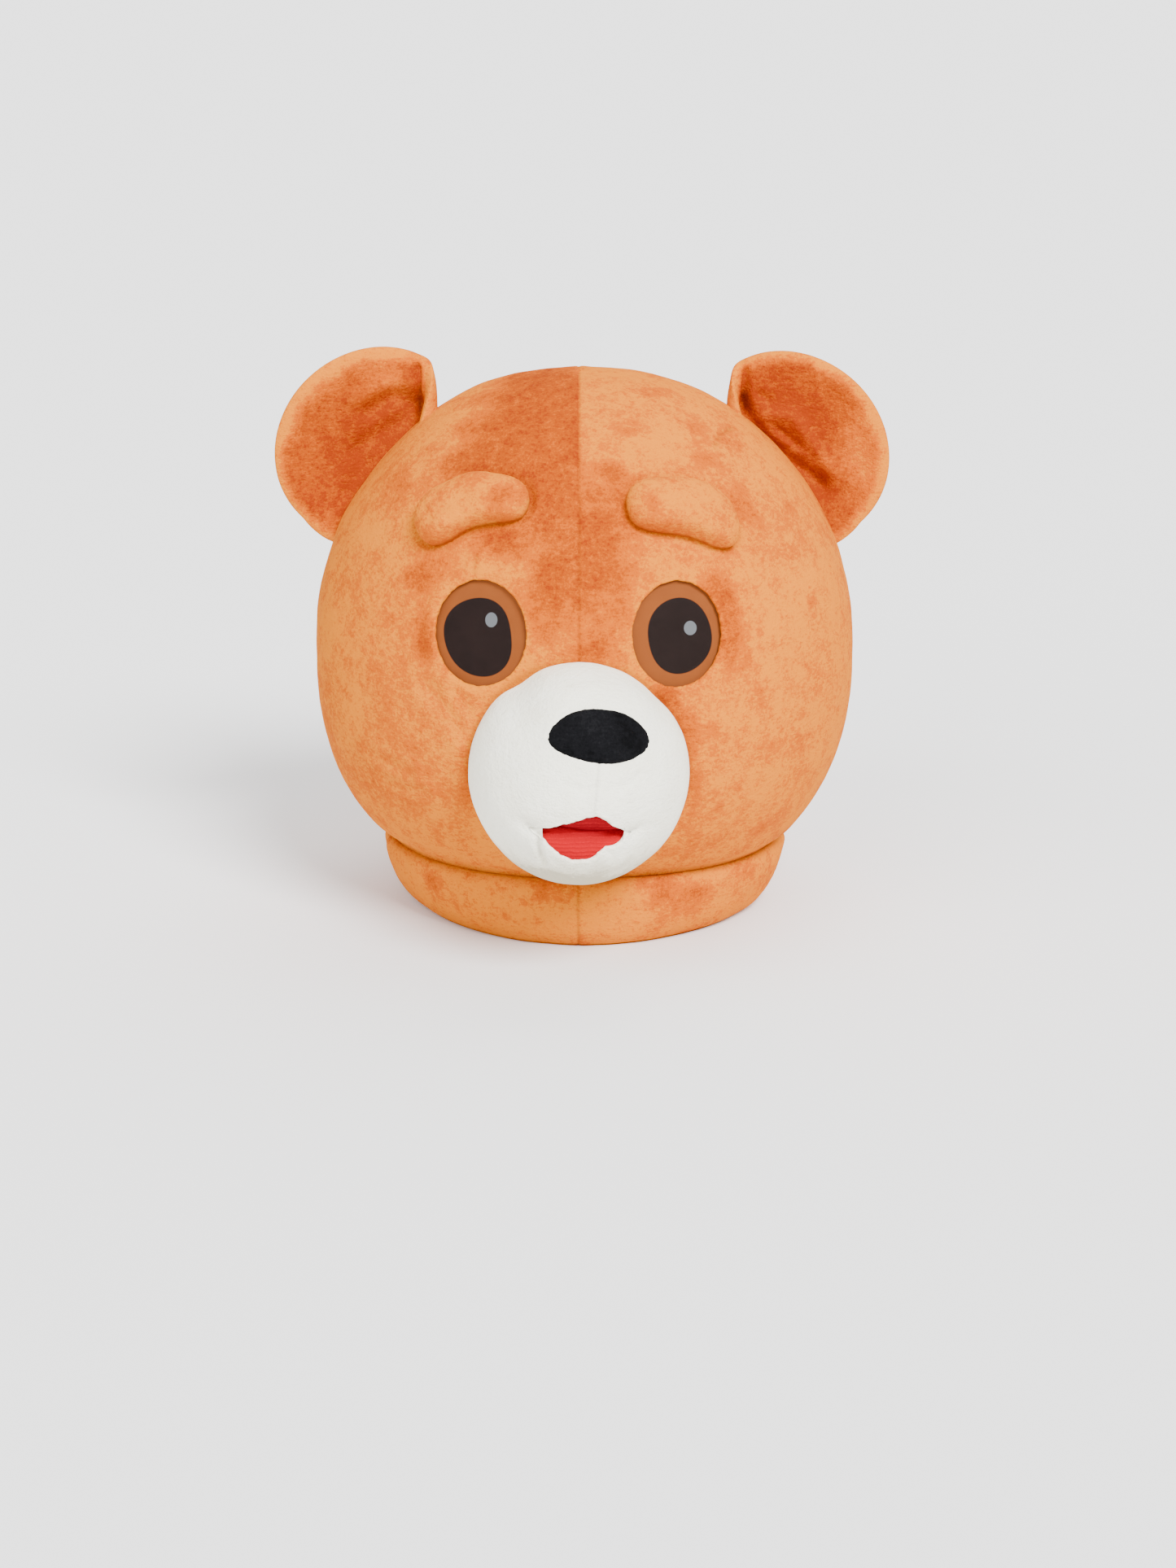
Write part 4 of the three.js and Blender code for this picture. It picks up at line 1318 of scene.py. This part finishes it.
def make_muzzle(material):
    """The stuffed white dome with the mouth's lips turned in."""
    turns = round_turns(MUZZLE_COLUMNS, [(0, 60, 3), (2, 20, 1)])
    tilts = np.radians(spaced(MUZZLE_ROWS, 0, 180, [(107, 26, 0.8)])[1:-1])
    tilt, turn = np.meshgrid(tilts, turns, indexing="ij")
    way = [np.sin(tilt) * np.sin(turn), -np.sin(tilt) * np.cos(turn), np.cos(tilt)]
    base = muzzle_surface(np.stack(way, -1))
    away = length(base - MOUTH_SEAT[0])
    row, column = np.unravel_index(np.argmin(away), away.shape)
    step, angle = round_block(
        base, row, column, MOUTH_BLOCK, MOUTH_RING, MOUTH_SEAT, from_muzzle, ragged(lips, 0.03),
        MOUTH_LIP,
    )
    rise = muzzle_rise(base)
    rise[around(row, column, MOUTH_RING - 1)] *= 0.5
    away = np.maximum(step - MOUTH_RING, 0) * MOUTH_CELL
    frill = lumps(np.stack([np.cos(angle) * 12, np.sin(angle) * 12, away * 0.3], -1), 1.2, 64)
    frill = (step >= MOUTH_RING) * 0.45 * frill * hump(away, 2.5)
    rise[around(row, column, MOUTH_BLOCK)] += frill
    skin = out_of_head(base + unit(base - MUZZLE_MIDDLE) * rise[..., None], MUZZLE_ROOT)
    caps = out_of_head(np.stack([muzzle_surface(UP), muzzle_surface(-UP)]), MUZZLE_ROOT)
    points, (i_caps, i_skin) = flatten(caps[None], skin)
    reach = MOUTH_RING - len(MOUTH_LIP)
    floor_ring = ring_of(i_skin, row, column, reach)
    points = np.concatenate([points, points[floor_ring].mean(0)[None]])
    faces = ball_faces(i_caps, i_skin)
    faces[0] = wrap(opened(i_skin, row, column, reach))
    faces.append(fan(floor_ring, len(points) - 1)[:, ::-1])
    nap = 0.2 + 0.25 * lumps(points, 26, 65) + 0.2 * lumps(points, 10, 66)
    # painted shade: deeper towards the muzzle's underside, where less light reaches
    nap = nap + 1.3 * smooth((MUZZLE_MIDDLE[2] - 22 - points[:, 2]) / 50)
    plane = in_plane(points, MOUTH_SEAT)
    seam, along = muzzle_seam(plane)
    # darker along the seam from the nose to the mouth, partly the parted pile and partly painted
    # shade, and painted shade in the tucks
    shade = 0.35 * along * hump(seam, 0.8)
    for line in TUCK_PAINTED_SHADES:
        shade = shade + 0.5 * hump(from_tuck(plane, line), 1.4)
    values = {"nap": nap, "seam": shade * (points[..., 1] < MUZZLE_MIDDLE[1])}
    muzzle = add_piece("plush_muzzle", points, faces, material, values)
    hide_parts("muzzle")


# The crease between the two leaves of the mouth's lining: across and up, in mm
MOUTH_CREASE = [(-37.0, -0.5), (-17, 0.6), (-9, -1.0), (3, -3.0), (18, -3.2), (34.2, -1.5)]


def make_mouth_lining(material):
    """Red cloth between the lips: two leaves that bulge forward and meet in a deep crease.

    The depth grows to the mouth's as the 2.4th power of the share of the way to the crease. The
    leaves reach a little past the lips' edge, behind them.
    """
    along = np.linspace(-1, 1, LINING_COLUMNS)
    across = along * (MOUTH_WIDTH / 2 + LINING_ENDS)
    table = np.array(LIPS)
    upper, lower = table[:10][::-1], np.concatenate([table[9:], table[:1]])
    high = np.interp(across, upper[:, 1], upper[:, 2]) + LINING_LAP
    low = np.interp(across, lower[:, 1], lower[:, 2]) - LINING_LAP
    crease = np.interp(across, *np.transpose(MOUTH_CREASE))
    falling, rising = np.linspace(1, 0, LINING_ABOVE + 1)[:-1], np.linspace(0, 1, LINING_BELOW)
    share = np.concatenate([falling, rising])[:, None]
    upward = (np.arange(len(share)) < LINING_ABOVE)[:, None]
    up = crease[None] + (np.where(upward, high[None], low[None]) - crease[None]) * share
    across = np.broadcast_to(across, up.shape)
    room = np.clip(1 - along**2, 0, 1)[None]
    puff = 1.6 * np.sin(np.pi * share) * room * np.where(upward, 0.3, 1.0)
    fold = (MOUTH_DEPTH - 3) * np.sqrt(room) * (1 - share) ** 2.4
    depth = LINING_INSIDE + 2.2 * along[None] ** 6 + fold - puff
    depth = depth + np.where(upward, 2.2 * room * (1 - share), 0.0)
    plane = np.stack([across, up], -1)
    front = on_surface(plane, MOUTH_SEAT, lambda aim: from_muzzle(aim, -depth))
    front = front + unit(front - MUZZLE_MIDDLE) * (0.25 * lumps(front, 6, 71))[..., None]
    back = on_surface(plane, MOUTH_SEAT, lambda aim: from_muzzle(aim, -depth - MOUTH_CLOTH / 2))
    points, faces = slab(front, back)
    # painted shade: the upper leaf, under the upper lip, and the depth of the crease are darker
    shade = np.where(upward, 0.75, 0.0) + 0 * along[None] + 0.5 * (1 - share) ** 3
    values = {"nap": np.clip(np.concatenate([shade.ravel(), shade.ravel()]), 0, 1)}
    lining = add_piece("red_mouth_lining", points, faces, material, values)
    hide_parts("mouth_lining")


# The nose's outline in mm across and up, from its tip at the wearer's left
NOSE_OUTLINE = [
    (35.2, -1.4), (33.0, 4.4), (27.0, 11.0), (18.6, 15.6), (8.6, 18.4), (-3.0, 19.4), (-13.4, 18.8),
    (-23.0, 16.0), (-30.4, 10.6), (-34.2, 3.4), (-32.8, -3.2), (-27.4, -9.0), (-19.8, -13.8),
    (-10.2, -17.6), (0.6, -19.6), (11.0, -19.2), (20.4, -16.6), (28.2, -12.2), (33.2, -7.4),
]


def make_nose(material):
    """A flat pad of black velour over the muzzle, on rings round its middle: its height is the
    pad's, falling to nothing over the last 4 mm as a quarter round."""
    rings = np.concatenate([np.linspace(0.03, NOSE_FLAT, 26), np.linspace(0.885, 1.0, 12)])
    angles = circle(NOSE_COLUMNS)
    rough = lumps(np.stack([np.cos(angles), np.sin(angles), 0 * angles], -1), 0.05, 84)
    edge = outline(NOSE_OUTLINE)(angles) * (1 + 0.012 * rough)[:, None]
    plane = rings[:, None, None] * edge[None]
    out = np.clip((rings - NOSE_FLAT) / 0.14, 0, 1)
    height = (NOSE_PAD * np.sqrt(1 - out**2) - NOSE_SUNK)[:, None] + 0 * angles[None]
    front = on_surface(plane, NOSE_SEAT, lambda aim: from_muzzle(aim, height))
    soft = bumps(front, [(0.5, 16, 81), (0.2, 6, 82)])
    front = front + unit(front - MUZZLE_MIDDLE) * soft[..., None]
    back = on_surface(plane, NOSE_SEAT, lambda aim: from_muzzle(aim, -NOSE_ROOT + 0 * height))
    heights = np.array([[NOSE_PAD - NOSE_SUNK], [-NOSE_ROOT]])
    ends = NOSE_SEAT[0] + NOSE_SEAT[3] * heights
    points, index = flatten(ends[None], front, back)
    values = {"nap": np.clip(0.4 + 0.4 * lumps(points, 14, 83), 0, 1)}
    nose = add_piece(
        "black_nose_patch", points, disc_faces(*index), material, values
    )
    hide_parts("nose_patch")


# Eye panels


def make_eye_panel(side, material):
    """A sheet of mesh stretched behind the opening, curved as the face is."""
    seat = eye_frame(side)
    rings = np.linspace(0.04, 1.0, PANEL_RINGS)
    angles = circle(PANEL_COLUMNS)
    plane = rings[:, None, None] * ellipse(PANEL_WIDTH, PANEL_HEIGHT)(angles)[None]
    sag = PANEL_SAG * (1 - rings[:, None] ** 2) + 0 * angles[None]

    def layer(down):
        return on_surface(plane, seat, lambda aim: head_surface(aim, -down - sag))

    depth = PLUSH_LIP + GAP + PANEL_SET_BACK
    front, back = layer(depth), layer(depth + EYE_PANEL_THICKNESS / 2)
    ends = np.stack([front[0].mean(0), back[0].mean(0)])
    points, index = flatten(ends[None], front, back)
    upright = face_frame(FACE_SHIFT + side * EYE_SPACING / 2, EYE_RISE)
    panel = add_piece(
        sided(side, "printed_eye"), points, disc_faces(*index), material,
        plane=in_plane(points, upright),
    )
    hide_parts("left_eye_panel" if side > 0 else "right_eye_panel")


# Collar


def make_collar(material):
    """The padded ring under the head: a rounded section carried round the neck seam.

    The section is a superellipse of powers 2.5 across and 2.7 up, 26 mm thick and as high as the
    collar, flat where it rests. Its outline in plan changes from the neck seam's to the fuller
    foot's on the way down. Gathers run down from the seam.
    """
    turns = round_turns(COLLAR_COLUMNS, [(0, 2.2, 3), (0, 70, 0.8)])
    seam_share = level_share(-NECK_DROP)
    loop = circle(COLLAR_ROWS)
    cos, sin = np.cos(loop), np.sin(loop)
    thick = (COLLAR_WALL + COLLAR_BULGE) / 2
    out = -COLLAR_WALL + thick + thick * np.sign(cos) * abs(cos) ** (2 / 2.5)
    down = COLLAR_HEIGHT / 2 - COLLAR_HEIGHT / 2 * np.sign(sin) * abs(sin) ** (2 / 2.7)
    out = out - np.where(cos > 0, COLLAR_TUCK * (down / COLLAR_HEIGHT) ** 3, 0.0)
    turn, fall = np.meshgrid(turns, down / COLLAR_HEIGHT)
    across, along = np.sin(turn), -np.cos(turn)
    fullness = PLAN_FULLNESS + (FOOT_FULLNESS - PLAN_FULLNESS) * fall
    full = (abs(across) ** fullness + abs(along) ** fullness) ** (-1 / fullness)
    wide, deep = COLLAR_RADII
    place = np.stack([across * wide, along * deep, -NECK_DROP - fall * COLLAR_HEIGHT], -1)
    soft = bumps(place, [(1.3, 60, 91), (0.7, 24, 92), (0.3, 10, 93)])
    # gathers hang from the seam and die out half way down
    gather = lumps(np.stack([turn * wide, 12 * fall * 5, 0 * turn], -1), 9, 94)
    soft = soft + gather * hump(fall - 0.12, 0.25)
    from_seam = (turn * 131 - FACE_SHIFT) + lumps(place, 20, 95)
    soft = soft - 1.1 * hump(from_seam, 1.3) + 0.6 * hump(from_seam, 7)
    outer = smooth((cos[:, None] + 0.25) / 0.5)
    grown = out[:, None] + soft * outer
    side = seam_share * HEAD_WIDTH / 2 + grown - COLLAR_SIDE_TAPER * fall
    front = seam_share * HEAD_DEPTH / 2 + grown - COLLAR_FRONT_TAPER * fall
    z = np.minimum(-NECK_DROP - GAP - fall * (COLLAR_HEIGHT - GAP), -NECK_DROP - GAP)
    droop = 1.2 * lumps(place, 45, 96) * (sin[:, None] > 0) * hump(fall, 0.4)
    z = np.maximum(z - abs(droop) * 0.4, -NECK_DROP - COLLAR_HEIGHT + 0.05)
    nap = 0.02 + 0.26 * lumps(place, 26, 97) + 0.2 * lumps(place, 9, 98)
    degrees = np.degrees(turn)
    for at, level, broad, tall, dark in BRUSHED_COLLAR:
        nap = nap + dark * np.exp(-(((degrees - at) / broad) ** 2) - ((fall - level) / tall) ** 2)
    # darker along the front seam, partly the parted pile and partly painted shade, and a painted
    # shadow along the top under the head's edge
    shade = 0.35 * hump(from_seam, 0.9) * outer + 0.35 * hump(fall, 0.06)
    points, (index,) = flatten(np.stack([across * full * side, along * full * front, z], -1))
    faces = [wrap(np.concatenate([index, index[:1]]))]
    values = {"nap": np.clip(nap, 0, 1).ravel(), "seam": shade.ravel()}
    collar = add_piece("plush_collar", points, faces, material, values)
    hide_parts("collar")


# The whole head

place_camera()

floor_mesh = bpy.data.meshes.new("floor")
corners = [(-FLOOR, -FLOOR, 0), (FLOOR, -FLOOR, 0), (FLOOR, FLOOR, 0), (-FLOOR, FLOOR, 0)]
floor_mesh.from_pydata(corners, [], [(0, 1, 2, 3)])
floor_mesh.materials.append(white_paper())
floor = bpy.data.objects.new("floor", floor_mesh)
bpy.context.collection.objects.link(floor)

world = bpy.data.worlds.new("studio")
world.use_nodes = True
sky = world.node_tree.nodes["Background"]
sky.inputs[0].default_value, sky.inputs[1].default_value = (1.0, 1.0, 1.0, 1.0), 0.75
bpy.context.scene.world = world
add_sun("key", 28, 42, 7.2, 24)
add_sun("fill", -38, 32, 2.2, 50)
add_sun("back", 160, 50, 2.2, 60)

orange = velour("orange_velour", "#D3770A", "#BE5802", "#A24400", "#8B2E04", "#6A2608")
# the white's deeper tones mostly paint the shade on the muzzle's underside
white = velour("white_minky", "#FFFDEC", "#FAF7E4", "#E6E1CB", "#C4BDA6", "#A39B8C", 0.6)
black = velour("black_velour", "#070708", "#0E0E10", "#151517", "#1A1A1C", "#050505")
# the head's inside is coloured near black as painted shade
lining = cavity_painted_shade()
red = ribbed_velour()
left = ("left_printed_polyester_mesh", (2.9, -1.1), LEFT_PUPIL, (10.5, 3.1), (4.5, 4.8))
right = ("right_printed_polyester_mesh", (-3.0, -2.6), RIGHT_PUPIL, (6.2, 9.2), (4.3, 5.0))
eyes = {1: printed_mesh(*left), -1: printed_mesh(*right)}

make_head(orange, lining)
for side in (-1, 1):
    make_ear(side, orange)
    make_brow(side, orange)
    make_eye_panel(side, eyes[side])
make_muzzle(white)
make_nose(black)
make_mouth_lining(red)
make_collar(orange)
